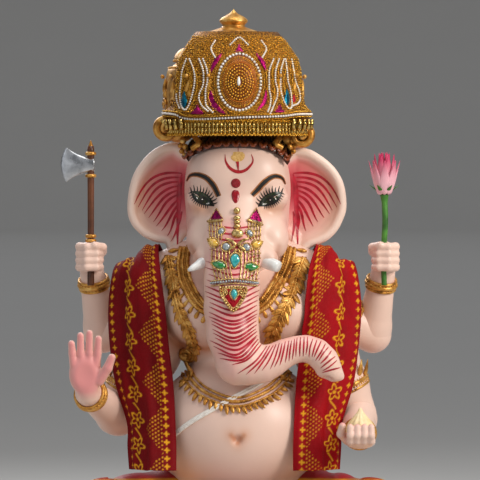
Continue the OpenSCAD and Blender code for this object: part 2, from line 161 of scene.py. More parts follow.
BALLS = {n: quad_ball(n) for n in (2, 3, 4, 8)}


def beads(heap, centres, radii, detail=2):
    """A round bead at each centre."""
    unit_verts, unit_faces = BALLS[detail]
    centres = np.atleast_2d(centres)
    radii = np.broadcast_to(np.asarray(radii, dtype=np.float64), (len(centres),))
    verts = centres[:, None, :] + radii[:, None, None] * unit_verts[None]
    shift = (np.arange(len(centres)) * len(unit_verts))[:, None, None]
    heap.put(verts.reshape(-1, 3), (unit_faces[None] + shift).reshape(-1, 4))


def lump(heap, centre, axes, radii, taper=0.0, detail=4):
    """An egg or drop: radii along three given directions; taper draws its first axis out to a point."""
    u = BALLS[detail][0].copy()
    if taper:
        narrow = np.clip(1 - taper * (u[:, 0] + 1) / 2, 0.02, 1)
        u[:, 1] *= narrow
        u[:, 2] *= narrow
    verts = centre + (u * np.asarray(radii)) @ np.asarray(axes)
    heap.put(verts, BALLS[detail][1])


def frames_along(points, up):
    """The direction of travel, a side direction and an upward one at each point of a path."""
    tangent = np.gradient(points, axis=0)
    tangent /= np.linalg.norm(tangent, axis=1)[:, None] + 1e-12
    up = np.broadcast_to(up, tangent.shape)
    side = np.cross(tangent, up)
    side /= np.linalg.norm(side, axis=1)[:, None] + 1e-12
    return tangent, side, np.cross(side, tangent)


def tube(heap, points, radii, up=(0, -1, 0), sides=8, flat=1.0):
    """A round cord along a path; flat squashes it along the up direction, and both its ends are closed."""
    points = np.asarray(points, dtype=np.float64)
    radii = np.broadcast_to(np.asarray(radii, dtype=np.float64), (len(points),))
    _, side, high = frames_along(points, up)
    turn = np.arange(sides) * TAU / sides
    ring = np.cos(turn)[None, :, None] * side[:, None] + flat * np.sin(turn)[None, :, None] * high[:, None]
    rings = points[:, None] + radii[:, None, None] * ring
    ends = [points[0] + 0.05 * (rings[0] - points[0]), points[-1] + 0.05 * (rings[-1] - points[-1])]
    rings = np.concatenate([ends[0][None], rings, ends[1][None]])
    heap.put(rings.reshape(-1, 3), lattice(len(rings), sides, closed=True))


def lattice(rows, cols, closed=False):
    """Faces of a grid of points; closed joins the last column to the first."""
    r = np.arange(rows - 1)[:, None]
    c = np.arange(cols if closed else cols - 1)[None]
    nxt = (c + 1) % cols
    return np.stack([r * cols + c, r * cols + nxt, (r + 1) * cols + nxt, (r + 1) * cols + c],
                    axis=-1).reshape(-1, 4)


# ---------------------------------------------------------------- clay: shapes that flow into each other
class Clay:
    """A block of signed distances, in millimetres, that shapes are pressed into and a skin is drawn from."""

    def __init__(self, low, high, step):
        self.low, self.step = np.array(low, dtype=np.float32), step
        self.axes = [np.arange(low[k], high[k] + step, step, dtype=np.float32) for k in range(3)]
        self.d = np.full([len(a) for a in self.axes], 40.0, dtype=np.float32)

    def window(self, low, high):
        cut = []
        for k in range(3):
            a, b = np.searchsorted(self.axes[k], [low[k], high[k]])
            cut.append(slice(max(int(a) - 1, 0), int(b) + 1))
        x, y, z = (self.axes[k][cut[k]] for k in range(3))
        return tuple(cut), x[:, None, None], y[None, :, None], z[None, None, :]

    def join(self, low, high, distance, soft):
        cut, x, y, z = self.window(np.array(low) - soft - 8, np.array(high) + soft + 8)
        old, new = self.d[cut], distance(x, y, z)
        h = np.clip(0.5 + 0.5 * (old - new) / soft, 0, 1)
        self.d[cut] = old + (new - old) * h - soft * h * (1 - h)

    def carve(self, low, high, distance, soft):
        cut, x, y, z = self.window(np.array(low) - soft - 4, np.array(high) + soft + 4)
        old, new = self.d[cut], -distance(x, y, z)
        h = np.clip(0.5 - 0.5 * (old - new) / soft, 0, 1)
        self.d[cut] = old + (new - old) * h + soft * h * (1 - h)

    def egg(self, centre, radii, soft=10, cut=False):
        c, r = np.array(centre, dtype=np.float32), np.array(radii, dtype=np.float32)

        def distance(x, y, z):
            px, py, pz = x - c[0], y - c[1], z - c[2]
            near = np.sqrt((px / r[0]) ** 2 + (py / r[1]) ** 2 + (pz / r[2]) ** 2)
            slope = np.sqrt((px / r[0] ** 2) ** 2 + (py / r[1] ** 2) ** 2 + (pz / r[2] ** 2) ** 2)
            return near * (near - 1) / np.maximum(slope, 1e-6)

        (self.carve if cut else self.join)(c - r, c + r, distance, soft)

    def limb(self, points, soft=6, cut=False):
        """A chain of round links: each point is (x, y, z, radius)."""
        for p, q in zip(points[:-1], points[1:]):
            a, b = np.array(p[:3], dtype=np.float32), np.array(q[:3], dtype=np.float32)
            span = b - a

            def distance(x, y, z, a=a, span=span, ra=p[3], rb=q[3]):
                px, py, pz = x - a[0], y - a[1], z - a[2]
                t = np.clip((px * span[0] + py * span[1] + pz * span[2]) / float(span @ span), 0, 1)
                gap = (px - t * span[0]) ** 2 + (py - t * span[1]) ** 2 + (pz - t * span[2]) ** 2
                return np.sqrt(gap) - (ra + (rb - ra) * t)

            r = max(p[3], q[3])
            (self.carve if cut else self.join)(np.minimum(a, b) - r, np.maximum(a, b) + r, distance, soft)

    def skin(self):
        grid = vdb.FloatGrid(40.0)
        grid.copyFromArray(np.ascontiguousarray(self.d))
        points, _, quads = grid.convertToPolygons(isovalue=0.0, adaptivity=0.0)
        return self.low + points * self.step, quads.astype(np.int64)


def bvh_of(verts, faces):
    return BVHTree.FromPolygons([tuple(v) for v in verts], [tuple(f) for f in faces.tolist()])


def normals_of(verts, faces):
    a, b, c, d = (verts[faces[:, k]] for k in range(4))
    face = np.cross(c - a, d - b)
    total = np.zeros_like(verts)
    for k in range(4):
        np.add.at(total, faces[:, k], face)
    return total / (np.linalg.norm(total, axis=1)[:, None] + 1e-12)


def onto(bvh, x, z, lift=0.0, start=-400.0):
    """The point of a surface seen at (x, z) from the front, lifted off it, and its outward direction."""
    hit, normal, _, _ = bvh.ray_cast(Vector((x, start, z)), Vector((0, 1, 0)))
    if hit is None:
        hit, normal, _, _ = bvh.find_nearest(Vector((x, -60.0, z)))
    n = np.array(normal)
    if n[1] > 0:
        n = -n
    return np.array(hit) + lift * n, n


def lay(bvh, path, count, lift=0.0):
    """A path of (x, z) points laid on a surface as seen from the front."""
    flat = spline(path, count)
    pairs = [onto(bvh, x, z, lift) for x, z in flat]
    return np.array([p for p, _ in pairs]), np.array([n for _, n in pairs])


def stroke(heap, bvh, path, widths, lift=0.25, pitch=1.6, across=4):
    """A painted brush stroke on a surface, as seen from the front; widths run along its length."""
    count = max(4, int(path_length(path) / pitch))
    line = spline(path, count)
    wide = np.interp(np.linspace(0, 1, count), np.linspace(0, 1, len(widths)), widths)
    along = np.gradient(line, axis=0)
    along /= np.linalg.norm(along, axis=1)[:, None] + 1e-12
    side = np.stack([-along[:, 1], along[:, 0]], axis=1)
    rows = []
    for t in np.linspace(-0.5, 0.5, across):
        rows.append([onto(bvh, *(line[i] + side[i] * wide[i] * t), lift)[0] for i in range(count)])
    grid = np.array(rows).transpose(1, 0, 2)
    heap.put(grid.reshape(-1, 3), lattice(count, across))


# ---------------------------------------------------------------- colours and materials
def srgb(text):
    value = np.array([int(text[i:i + 2], 16) / 255 for i in (0, 2, 4)])
    return np.where(value <= 0.04045, value / 12.92, ((value + 0.055) / 1.055) ** 2.4)


class Nodes:
    """A material's node tree, with short calls for making and joining nodes."""

    def __init__(self, name):
        self.material = bpy.data.materials.new(name)
        self.material.use_nodes = True
        self.tree = self.material.node_tree
        self.shader = self.tree.nodes["Principled BSDF"]
        self.place = self.make("ShaderNodeTexCoord").outputs["Object"]

    def make(self, kind, **settings):
        node = self.tree.nodes.new(kind)
        for key, value in settings.items():
            if hasattr(node, key):
                setattr(node, key, value)
            else:
                node.inputs[key].default_value = value
        return node

    def link(self, out, into):
        self.tree.links.new(out, into)

    def noise(self, scale, detail=3.0, stretch=None, rough=0.55):
        node = self.make("ShaderNodeTexNoise")
        node.inputs["Scale"].default_value = scale
        node.inputs["Detail"].default_value = detail
        node.inputs["Roughness"].default_value = rough
        place = self.place
        if stretch is not None:
            mapping = self.make("ShaderNodeMapping")
            mapping.inputs["Scale"].default_value = stretch
            self.link(place, mapping.inputs["Vector"])
            place = mapping.outputs["Vector"]
        self.link(place, node.inputs["Vector"])
        return node.outputs["Fac"]

    def ramp(self, value, stops):
        node = self.make("ShaderNodeValToRGB")
        marks = node.color_ramp.elements
        while len(marks) < len(stops):
            marks.new(0.5)
        for mark, (at, colour) in zip(marks, stops):
            mark.position = at
            mark.color = (*colour[:3], 1.0)
        self.link(value, node.inputs["Fac"])
        return node.outputs["Color"]

    def span(self, value, low, high, from_low=0.3, from_high=0.7):
        node = self.make("ShaderNodeMapRange")
        for key, number in (("From Min", from_low), ("From Max", from_high), ("To Min", low),
                            ("To Max", high)):
            node.inputs[key].default_value = number
        self.link(value, node.inputs["Value"])
        return node.outputs["Result"]

    def mix(self, factor, a, b, blend="MIX"):
        node = self.make("ShaderNodeMix", data_type="RGBA", blend_type=blend)
        colour = [s for s in node.inputs if s.type == "RGBA"]
        amount = next(s for s in node.inputs if s.identifier == "Factor_Float")
        for socket, value in ((amount, factor), (colour[0], a), (colour[1], b)):
            if hasattr(value, "is_linked"):
                self.link(value, socket)
            elif socket is amount:
                socket.default_value = value
            else:
                socket.default_value = (*value[:3], 1.0)
        return next(s for s in node.outputs if s.type == "RGBA")

    def bump(self, height, strength, distance):
        node = self.make("ShaderNodeBump")
        node.inputs["Strength"].default_value = strength
        node.inputs["Distance"].default_value = distance
        self.link(height, node.inputs["Height"])
        self.link(node.outputs["Normal"], self.shader.inputs["Normal"])

    def set(self, **values):
        for key, value in values.items():
            self.shader.inputs[key.replace("_", " ")].default_value = value


def finish(name, colours, metallic=0.0, rough=(0.35, 0.5), scale=60.0, bump=(0.1, 0.0004), bump_scale=None,
           **extra):
    """A finish whose colour, gloss and surface vary a little from place to place."""
    n = Nodes(name)
    cloud = n.noise(scale)
    stops = [(0.3 + 0.4 * i / max(len(colours) - 1, 1), srgb(c)) for i, c in enumerate(colours)]
    n.link(n.ramp(cloud, stops), n.shader.inputs["Base Color"])
    n.link(n.span(cloud, rough[0], rough[1]), n.shader.inputs["Roughness"])
    n.set(Metallic=metallic)
    n.bump(n.noise(bump_scale or scale * 6, 2.0), *bump)
    n.set(**extra)
    return n.material


def painted(name, rough=(0.36, 0.46), **extra):
    """Enamel sprayed and brushed on plaster: its colours are carried by the piece's own points."""
    n = Nodes(name)
    layer = n.make("ShaderNodeAttribute", attribute_name="paint")
    cloud = n.noise(14.0, 4.0)
    tone = n.ramp(cloud, [(0.3, (0.93, 0.93, 0.93)), (0.7, (1.0, 1.0, 1.0))])
    n.link(n.mix(1.0, layer.outputs["Color"], tone, "MULTIPLY"), n.shader.inputs["Base Color"])
    n.link(n.span(n.noise(45.0), rough[0], rough[1]), n.shader.inputs["Roughness"])
    n.bump(n.noise(260.0, 3.0), 0.06, 0.0004)
    n.set(**extra)
    return n.material


SKIN = srgb("eecbba")
CREAM = srgb("f0d4c4")
PEACH = srgb("dc9a72")
TAN = srgb("c98f6e")
ROSE = srgb("e0566a")
CRIMSON = srgb("a5001c")
# An orange-brown sprayed into creases; it paints in the shade that falls there.
CREASE_SHADE_BROWN = srgb("b0581f")

ENAMEL = painted("enamel")
GOLD_PAINT = finish("gold_paint", ["84531a", "cf9440", "e8bc6c"], metallic=0.6, rough=(0.3, 0.48), scale=90.0,
                    bump=(0.25, 0.0006))
BEAD_GOLD = finish("bead_gold", ["b97a12", "f0c050"], metallic=0.95, rough=(0.16, 0.3), scale=400.0)
BEAD_ORANGE = finish("bead_orange", ["c25a06", "f29a1e"], metallic=0.35, rough=(0.15, 0.3), scale=400.0)
BUGLE = finish("bugle_gold", ["6e4810", "f2d27c"], metallic=1.0, rough=(0.08, 0.2), scale=300.0)
PEARL = finish("pearl", ["ddd2c8", "fffaf2"], rough=(0.12, 0.25), scale=350.0, Coat_Weight=0.6,
               Coat_Roughness=0.08)
BLACK = finish("black_paint", ["050302", "0e0806"], rough=(0.45, 0.6), scale=200.0)
BROWN_EDGE = finish("brown_paint", ["8a4a1c", "c07a3c"], rough=(0.4, 0.5), scale=200.0)
CRIMSON_PAINT = finish("crimson_paint", ["8e0019", "c2102e"], rough=(0.3, 0.42), scale=120.0)
MAGENTA_FOIL = finish("magenta_foil", ["5a0030", "b01065"], metallic=0.85, rough=(0.15, 0.35), scale=160.0,
                      bump=(0.5, 0.001))
TEAL_FOIL = finish("teal_foil", ["02384f", "0a7c96"], metallic=0.8, rough=(0.15, 0.3), scale=160.0,
                   bump=(0.4, 0.001))
RED_FOIL = finish("red_foil", ["7c0210", "c81226"], metallic=0.5, rough=(0.2, 0.35), scale=160.0)


# ---------------------------------------------------------------- camera, lights and floor
def studio():
    scene = bpy.context.scene
    camera = bpy.data.cameras.new("camera")
    camera.sensor_width = 36.0
    distance, frame_width = 6.0, 0.6
    camera.lens = camera.sensor_width * distance / frame_width
    camera.clip_end = 200.0
    view = bpy.data.objects.new("camera", camera)
    aim = Vector((0.0031, -0.06, 0.45))
    tilt = math.radians(1.0)
    view.location = aim + Vector((0, -distance * math.cos(tilt), distance * math.sin(tilt)))
    view.rotation_euler = (aim - view.location).to_track_quat("-Z", "Y").to_euler()
    scene.collection.objects.link(view)
    scene.camera = view

    def lamp(name, at, size, power, colour):
        light = bpy.data.lights.new(name, "AREA")
        light.size, light.energy, light.color = size, power, colour
        obj = bpy.data.objects.new(name, light)
        obj.location = at
        obj.rotation_euler = (Vector((0, 0, 0.42)) - obj.location).to_track_quat("-Z", "Y").to_euler()
        scene.collection.objects.link(obj)

    lamp("key", (1.8, -1.4, 1.4), 0.9, 43.0, (1.0, 0.95, 0.88))
    lamp("fill", (-1.6, -1.6, 0.9), 1.6, 6.0, (0.86, 0.92, 1.0))
    lamp("top", (0.2, -0.4, 2.2), 1.2, 16.0, (1.0, 0.98, 0.95))
    lamp("back", (-0.8, 1.6, 1.6), 1.0, 16.0, (0.95, 0.97, 1.0))
    world = bpy.data.worlds.new("studio")
    world.use_nodes = True
    world.node_tree.nodes["Background"].inputs["Color"].default_value = (0.86, 0.88, 0.92, 1.0)
    world.node_tree.nodes["Background"].inputs["Strength"].default_value = 0.4
    scene.world = world
    scene.view_settings.view_transform = "Standard"

    # A pale round floor that curves up into a low wall a long way off on every side.
    line = [(0.01, 0.0), (4.0, 0.0), (12.0, 0.0), (30.0, 0.0)]
    line += [(30.0 + 4 * math.sin(a), 4 - 4 * math.cos(a)) for a in np.linspace(0.1, math.pi / 2, 12)]
    line.append((34.0, 8.0))
    sides = 64
    mesh = bpy.data.meshes.new("studio_floor")
    verts = [(r * math.cos(a), r * math.sin(a), z) for r, z in line for a in np.arange(sides) * TAU / sides]
    mesh.from_pydata(verts, [], [tuple(face) for face in lattice(len(line), sides, closed=True).tolist()])
    mesh.polygons.foreach_set("use_smooth", [True] * len(mesh.polygons))
    mesh.materials.append(finish("studio_grey", ["c3c1bd", "c5c3bf"], rough=(0.8, 0.9), scale=1.0,
                                 bump=(0.02, 0.001)))
    floor = bpy.data.objects.new("studio_floor", mesh)
    scene.collection.objects.link(floor)


studio()


# ---------------------------------------------------------------- head and trunk
TRUNK = [(-4, -44, 404, 36), (-6, -66, 366, 36), (-7, -82, 326, 33.5), (-7.5, -92, 296, 33),
         (-6, -98, 264, 31.5), (2, -102, 230, 28.5), (16, -104, 227, 24.5), (31, -104, 226, 21),
         (45, -103, 232, 18.5), (59, -102, 240, 16.3), (73, -101, 245, 14.8), (86, -100, 246, 14.8),
         (99, -99, 241, 15.4), (108.5, -99, 231, 15.6), (115, -99, 221, 13), (122, -99, 214, 8.5),
         (128.5, -99, 210.5, 3.2)]


def head_skin():
    clay = Clay((-84, -152, 196), (150, 76, 546), 1.7)
    clay.egg((0, 0, 442), (67, 66, 98), 8)
    clay.egg((0, -8, 392), (61, 58, 52), 16)
    for s in (-1, 1):
        clay.egg((s * 24, -32, 463), (33, 32, 33), 16)
        clay.egg((s * 44, -40, 432), (20, 17, 15), 10)
        clay.egg((s * 42, -40, 380), (22, 24, 26), 14)
    clay.limb([(-2, -38, 432, 27), TRUNK[0]], 18)
    clay.limb(TRUNK, 7)
    clay.egg((0, -20, 352), (36, 36, 24), 14)
    # The two sockets that the tusks come out of, and the nostrils under the tip.
    clay.limb([(-34, -60, 366, 14), (-46, -70, 358, 10)], 9)
    clay.limb([(28, -62, 366, 14), (40, -72, 357, 11)], 9)
    clay.egg((-38, -62, 428), (6, 10, 12), 12, cut=True)
    clay.egg((34, -62, 428), (6, 10, 12), 12, cut=True)
    clay.limb([(106, -99, 222, 11), (104, -99, 217, 5)], 6)
    for dy in (-6, 6):
        clay.egg((113, -99 + dy, 210), (5, 3.6, 5), 2, cut=True)
    return clay.skin()


def near_path(p, path):
    """Distance from points to a line of points, and how far along it the nearest place is, from 0 to 1."""
    path = np.asarray(path, dtype=np.float64)
    best = np.full(len(p), 1e9)
    at = np.zeros(len(p))
    for i in range(len(path) - 1):
        a, span = path[i], path[i + 1] - path[i]
        t = np.clip(((p - a) @ span) / (span @ span), 0, 1)
        gap = np.linalg.norm(p - a - t[:, None] * span, axis=1)
        closer = gap < best
        best[closer] = gap[closer]
        at[closer] = (i + t[closer]) / (len(path) - 1)
    return best, at


class Paint:
    """Colours on a skin's points, put on in coats."""

    def __init__(self, verts, base):
        self.p = verts
        self.front = verts[:, [0, 2]]
        self.rgb = np.tile(base, (len(verts), 1))

    def coat(self, colour, amount):
        a = np.clip(amount, 0, 1)[:, None]
        self.rgb = self.rgb * (1 - a) + np.asarray(colour) * a

    def spot(self, colour, centre, radius, amount, soft=1.0):
        """A soft round or oval spray, as seen from the front."""
        gap = np.linalg.norm((self.front - np.array(centre)) / np.array(radius), axis=1)
        front = (self.p[:, 1] < 20).astype(float)
        self.coat(colour, amount * front * np.clip((1 - gap) / soft, 0, 1))

    def line(self, colour, path, width, amount):
        """A soft sprayed line, as seen from the front."""
        gap, _ = near_path(self.front, path)
        self.coat(colour, amount * np.exp(-((gap / width) ** 2)) * (self.p[:, 1] < 20))


head_verts, head_faces = head_skin()
head_normals = normals_of(head_verts, head_faces)
HEAD = bvh_of(head_verts, head_faces)
coat = Paint(head_verts, SKIN)
trunk_line = np.array(TRUNK)[:, :3]
gap, along = near_path(head_verts, trunk_line)
radius = np.interp(along * (len(TRUNK) - 1), range(len(TRUNK)), np.array(TRUNK)[:, 3])
on_trunk = np.clip((radius + 3 - gap) / 3, 0, 1)
facing = np.clip(-head_normals[:, 1], 0, 1)
upward = np.clip(head_normals[:, 2], 0, 1)
curl = np.clip((along - 0.36) / 0.12, 0, 1)
flush = np.clip((along - 0.02) / 0.06, 0, 1) * on_trunk
coat.coat(srgb("ee8288"),
          flush * 0.72 * ((1 - curl) * facing**1.3 + curl * np.clip(facing * 0.35 + upward, 0, 1) ** 1.5))
for s, cx in ((-1, -44), (1, 40)):
    coat.spot(PEACH, (cx + s * 1, 419), (24, 13), 0.75)
    coat.spot(srgb("e8b49c"), (cx, 436), (27, 20), 0.45)
    coat.spot(srgb("dfa8a0"), (s * 62, 410), (9, 60), 0.5)
coat.spot(srgb("e3a193"), (-1, 445), (15, 20), 0.35)
coat.spot(srgb("d8405c"), (-4, 368), (30, 48), 0.75)
# Orange-brown under the tusk roots, at the corners of the mouth: painted shade.
coat.line(CREASE_SHADE_BROWN, [(-58, 372), (-50, 356), (-44, 350)], 4, 0.5)
coat.line(CREASE_SHADE_BROWN, [(52, 372), (46, 352), (40, 346)], 4, 0.35)
build("head_and_trunk", head_verts, head_faces, ENAMEL, replaces=("head_casting",), colours=coat.rgb)


def fill_patch(heap, bvh, outline, lift=0.3, rings=5):
    """A painted patch with a given outline of (x, z) points, laid on a surface as seen from the front."""
    edge = np.asarray(outline, dtype=np.float64)
    middle = edge.mean(axis=0)
    rows = []
    for k in np.linspace(1.0, 0.02, rings):
        rows.append([onto(bvh, *(middle + (q - middle) * k), lift)[0] for q in edge])
    heap.put(np.array(rows).reshape(-1, 3), lattice(rings, len(edge), closed=True))


def arc(centre, radii, start, stop, count, turn=0.0):
    """Points round an oval, from start to stop in degrees; turn leans the whole oval."""
    a = np.radians(np.linspace(start, stop, count, endpoint=abs(stop - start) < 360))
    flat = np.stack([radii[0] * np.cos(a), radii[1] * np.sin(a)], axis=1)
    c, s = math.cos(math.radians(turn)), math.sin(math.radians(turn))
    return np.array(centre) + flat @ np.array([[c, s], [-s, c]])


def step_up(value, low, high):
    """0 up to low, 1 from high, and a smooth rise between them."""
    t = np.clip((value - low) / (high - low), 0.0, 1.0)
    return t * t * (3 - 2 * t)


# Some of the trunk's stripes, as left end, middle and right end seen from the front, with the number of
# stripes from each to the next.
STRIPES = [((-33, 399), (-4, 396), (27, 399), 10), ((-38, 323), (-5, 313), (28, 325), 5),
           ((-34, 291), (-5, 281), (24, 294), 5), ((-31.5, 266), (-4, 256), (23, 271), 3),
           ((-28, 249), (-1, 240), (24, 260), 2), ((-19, 234), (6, 234), (27, 255), 1),
           ((-8, 226), (13, 233), (31, 252), 1), ((3, 217), (22, 231), (36, 249.5), 2),
           ((21, 216), (33, 232), (45, 250), 2), ((39, 220), (46, 235), (52, 252.5), 3),
           ((59, 230), (61.5, 243), (64, 255.5), 3), ((72, 236), (73, 247), (74, 259), 3),
           ((85, 238), (86, 249), (87, 260.5), 3), ((95, 235), (100, 246), (104.5, 255.5), 3),
           ((102, 227), (110, 236), (117, 243.5), 2), ((105, 219), (114.5, 225), (124, 231), 2),
           ((107, 213), (118, 214.5), (130, 214.5), 0)]


def trunk_stripes():
    """Tapered crimson strokes: they hang in a U across the front and stand over the top of the curl."""
    heap = Heap()
    rng = np.random.default_rng(4)
    for k, ((*start, count), (*stop, _)) in enumerate(zip(STRIPES[:-1], STRIPES[1:])):
        for j in range(count):
            t = j / count
            path = np.array(start) * (1 - t) + np.array(stop) * t + rng.uniform(-0.8, 0.8, (3, 2))
            path[0] += (path[0] - path[1]) * rng.uniform(-0.1, 0.16)
            wide = np.interp(k + t, [0, 4, 6, 9, 16], [2.5, 3.1, 2.4, 2.0, 2.1]) * rng.uniform(0.85, 1.1)
            stroke(heap, HEAD, path, [0.4, 0.8 * wide, wide, wide, 0.85 * wide, 0.7], 0.28)
    build_heap("trunk_stripes", heap, CRIMSON_PAINT)


def eye(name, outer, inner):
    """An almond eye, drawn from its outer to its inner corner, with lashes all round."""
    outer, inner = np.array(outer), np.array(inner)
    middle, half = (outer + inner) / 2, np.linalg.norm(inner - outer) / 2
    across = (inner - outer) / (2 * half)
    up = np.array([-across[1], across[0]])
    if up[1] < 0:
        up = -up

    def at(u, v):
        return middle + across * u + up * v

    def upper(u, rise=0.0):
        return (2.6 + rise) * (1 - (u / half) ** 2)

    def lower(u, drop=0.0):
        return -(6.0 + drop) * (1 - (u / half) ** 2) * (1 - 0.28 * u / half)

    def lid(edge, more=0.0, count=13, grow=1.0):
        return [at(u, edge(u, more)) for u in np.linspace(-half * grow, half * grow, count)]

    white, iris, dark, glint = Heap(), Heap(), Heap(), Heap()
    fill_patch(iris, HEAD, lid(upper) + lid(lower)[-2:0:-1], 0.2)
    fill_patch(iris, HEAD, arc(at(-0.6, -1.8), (5.2, 4.4), 0, 360, 18), 0.3)
    stroke(iris, HEAD, [at(u, upper(u, 2.2)) for u in np.linspace(-0.95 * half, 0.75 * half, 9)],
           [0.6, 3.2, 3.4, 2.6, 0.6], 0.5)
    fill_patch(dark, HEAD, arc(at(-0.6, -1.6), (3.6, 3.4), 0, 360, 14), 0.38)
    stroke(dark, HEAD, lid(upper, 4.0, grow=1.04), [1.2, 1.8, 1.6, 1.6, 1.2], 0.45)
    stroke(dark, HEAD, lid(upper, grow=1.02), [1.0, 2.2, 1.8, 2.2, 1.4], 0.5)
    stroke(dark, HEAD, lid(lower, grow=1.04), [1.2, 2.6, 2.6, 2.4, 1.4], 0.45)
    fill_patch(white, HEAD, arc(at(half * 0.52, -1.9), (2.6, 0.9), 0, 360, 10, 12), 0.45, 3)
    fill_patch(white, HEAD, arc(at(-half * 0.4, -2.8), (0.6, 1.5), 0, 360, 10, 30), 0.45, 3)
    fill_patch(glint, HEAD, arc(at(-0.4, -1.0), (0.9, 0.7), 0, 360, 8), 0.6, 3)
    for k in range(11):
        u = half * (-1.0 + 1.9 * k / 10)
        fan = -0.35 + 1.45 * k / 10
        root = at(u, upper(u, 4.0))
        way = unit(V(0, 1) * math.cos(fan) + across[0] * V(1, -0.2) * math.sin(fan))
        tip = root + (8.6 - 2.4 * abs(fan - 0.3) + (0.8 if k % 2 else -0.8)) * way
        stroke(dark, HEAD, [root, (root + tip) / 2 + across * 0.5, tip], [1.9, 1.4, 0.4], 0.5, 1.2, 3)
    for k in range(12):
        u = half * (-0.97 + 1.5 * k / 11)
        fan = -1.25 + 1.5 * k / 11
        root = at(u, lower(u))
        way = unit(V(0, -1) * math.cos(fan) + across[0] * V(1, 0) * math.sin(fan))
        tip = root + (5.4 - 0.8 * abs(fan)) * way
        stroke(dark, HEAD, [root, (root + tip) / 2, tip], [1.6, 1.2, 0.35], 0.5, 1.2, 3)
    build_heap(name + "_white", white, EYE_WHITE)
    build_heap(name + "_iris", iris, IRIS)
    build_heap(name + "_lines_and_lashes", dark, BLACK)
    build_heap(name + "_glint", glint, EYE_WHITE)


EYE_WHITE = finish("eye_white", ["d8d4cc", "f4f0ea"], rough=(0.2, 0.3), scale=300.0)
IRIS = finish("iris_green", ["0c0f08", "26381e", "3c2412"], rough=(0.2, 0.3), scale=900.0)
PASTE = finish("sandal_paste", ["cf9a45", "efc985"], rough=(0.7, 0.85), scale=500.0, bump=(0.5, 0.0008))
VERMILION = finish("vermilion", ["8d0612", "c01222"], rough=(0.35, 0.5), scale=300.0)
STONE_CRIMSON = finish("glossy_crimson", ["7a0210", "a80a1c"], rough=(0.1, 0.2), scale=300.0)
GLITTER_RED = finish("glitter_red", ["4c0108", "940a18", "c02030"], metallic=0.2, rough=(0.3, 0.5),
                     scale=1400.0,
                     bump=(0.8, 0.0008))


def brow(name, path):
    edge, hair = Heap(), Heap()
    stroke(edge, HEAD, path, [2.0, 5.6, 7.0, 7.9, 7.8, 7.0], 0.18)
    stroke(hair, HEAD, path, [0.6, 3.0, 4.2, 4.8, 4.6, 3.8], 0.32)
    build_heap(name + "_edge", edge, BROWN_EDGE)
    build_heap(name, hair, BLACK)


def forehead_marks():
    red, paste, dot, drop = Heap(), Heap(), Heap(), Heap()
    stroke(red, HEAD,
           [(-15.6, 487), (-14.6, 478), (-9, 469.5), (0, 465.2), (9.5, 467), (17, 474), (19.4, 480),
                       (17.2, 487)], [0.5, 2.2, 3.6, 4.2, 3.8, 3.2, 2.0, 0.5], 0.35)
    stroke(red, HEAD, [(0.8, 497), (0.8, 488)], [0.9, 0.7], 0.3)
    stroke(red, HEAD, [(-0.2, 478), (0.4, 474), (1, 467)], [3.8, 2.6, 1.2], 0.6)
    rng = np.random.default_rng(7)
    edge = [(q - (0.6, 484)) * rng.uniform(0.88, 1.12) + (0.6, 484)
            for q in arc((0.6, 484), (8.4, 6.8), 0, 360, 14)]
    fill_patch(paste, HEAD, edge, 0.5)
    for centre, heap, radii, taper in (((-2.2, 451), dot, (6.0, 6.0, 1.9), 0),
                                       ((-2.5, 434.6), drop, (10.6, 6.2, 2.6), 0.45)):
        p, n = onto(HEAD, *centre)
        side = unit(np.cross(V(0, 0, 1), n))
        lump(heap, p, [-np.cross(n, side), side, n], radii, taper, 8)
    build_heap("forehead_crescent", red, VERMILION)
    build_heap("forehead_paste", paste, PASTE)
    build_heap("bindi_dot", dot, GLITTER_RED, replaces=("forehead_bindi",))
    build_heap("bindi_drop", drop, STONE_CRIMSON)


trunk_stripes()
eye("left_side_eye", (-57.5, 440), (-29.5, 423))
eye("right_side_eye", (55, 439), (26, 422.5))
brow("left_side_brow",
     [(-64, 453.5), (-59, 460.5), (-49.8, 461.6), (-39, 457.6), (-30.6, 449), (-26, 440.6), (-23.4, 434.5)])
brow("right_side_brow",
     [(60, 449.5), (56, 457), (48.5, 459.8), (41, 457.8), (32, 450.8), (26, 444), (18, 436)])
forehead_marks()


# ---------------------------------------------------------------- ears
LEFT_EDGE = [(-50, 486), (-64.4, 492.5), (-73, 500), (-84, 501.5), (-97, 497.5), (-110, 489), (-122, 476),
             (-132, 459), (-137.5, 437), (-138.5, 414), (-134, 400), (-127.5, 391.5), (-116.9, 382.5),
             (-102.4, 376.6), (-91, 375), (-88.8, 367), (-86, 359.4), (-80, 362), (-73.6, 370.9), (-66, 384),
             (-50, 396)]
RIGHT_EDGE = [(50, 486), (62, 490), (71.5, 496), (88.8, 493.5), (102, 487), (116.4, 476), (127, 463.4),
              (133.8, 449), (136.6, 434), (136.8, 416.8), (131.5, 401.5), (125, 390), (115.5, 380.4),
              (104, 373.8), (90.5, 368.5), (86.5, 359), (81.9, 351.8), (76, 357.5), (67.6, 370.9),
              (62.9, 380), (50, 396)]


def outline_gap(x, z, edge):
    """Distance in the plane from an outline: below zero inside it."""
    gap = np.full(x.shape, 1e9)
    inside = np.zeros(x.shape, dtype=bool)
    for (x0, z0), (x1, z1) in zip(edge, np.roll(edge, -1, axis=0)):
        dx, dz = x1 - x0, z1 - z0
        t = np.clip(((x - x0) * dx + (z - z0) * dz) / (dx * dx + dz * dz), 0, 1)
        gap = np.minimum(gap, np.hypot(x - x0 - t * dx, z - z0 - t * dz))
        crosses = (z0 > z) != (z1 > z)
        if dz != 0:
            inside ^= crosses & (x < dx * (z - z0) / dz + x0)
    return np.where(inside, -gap, gap)


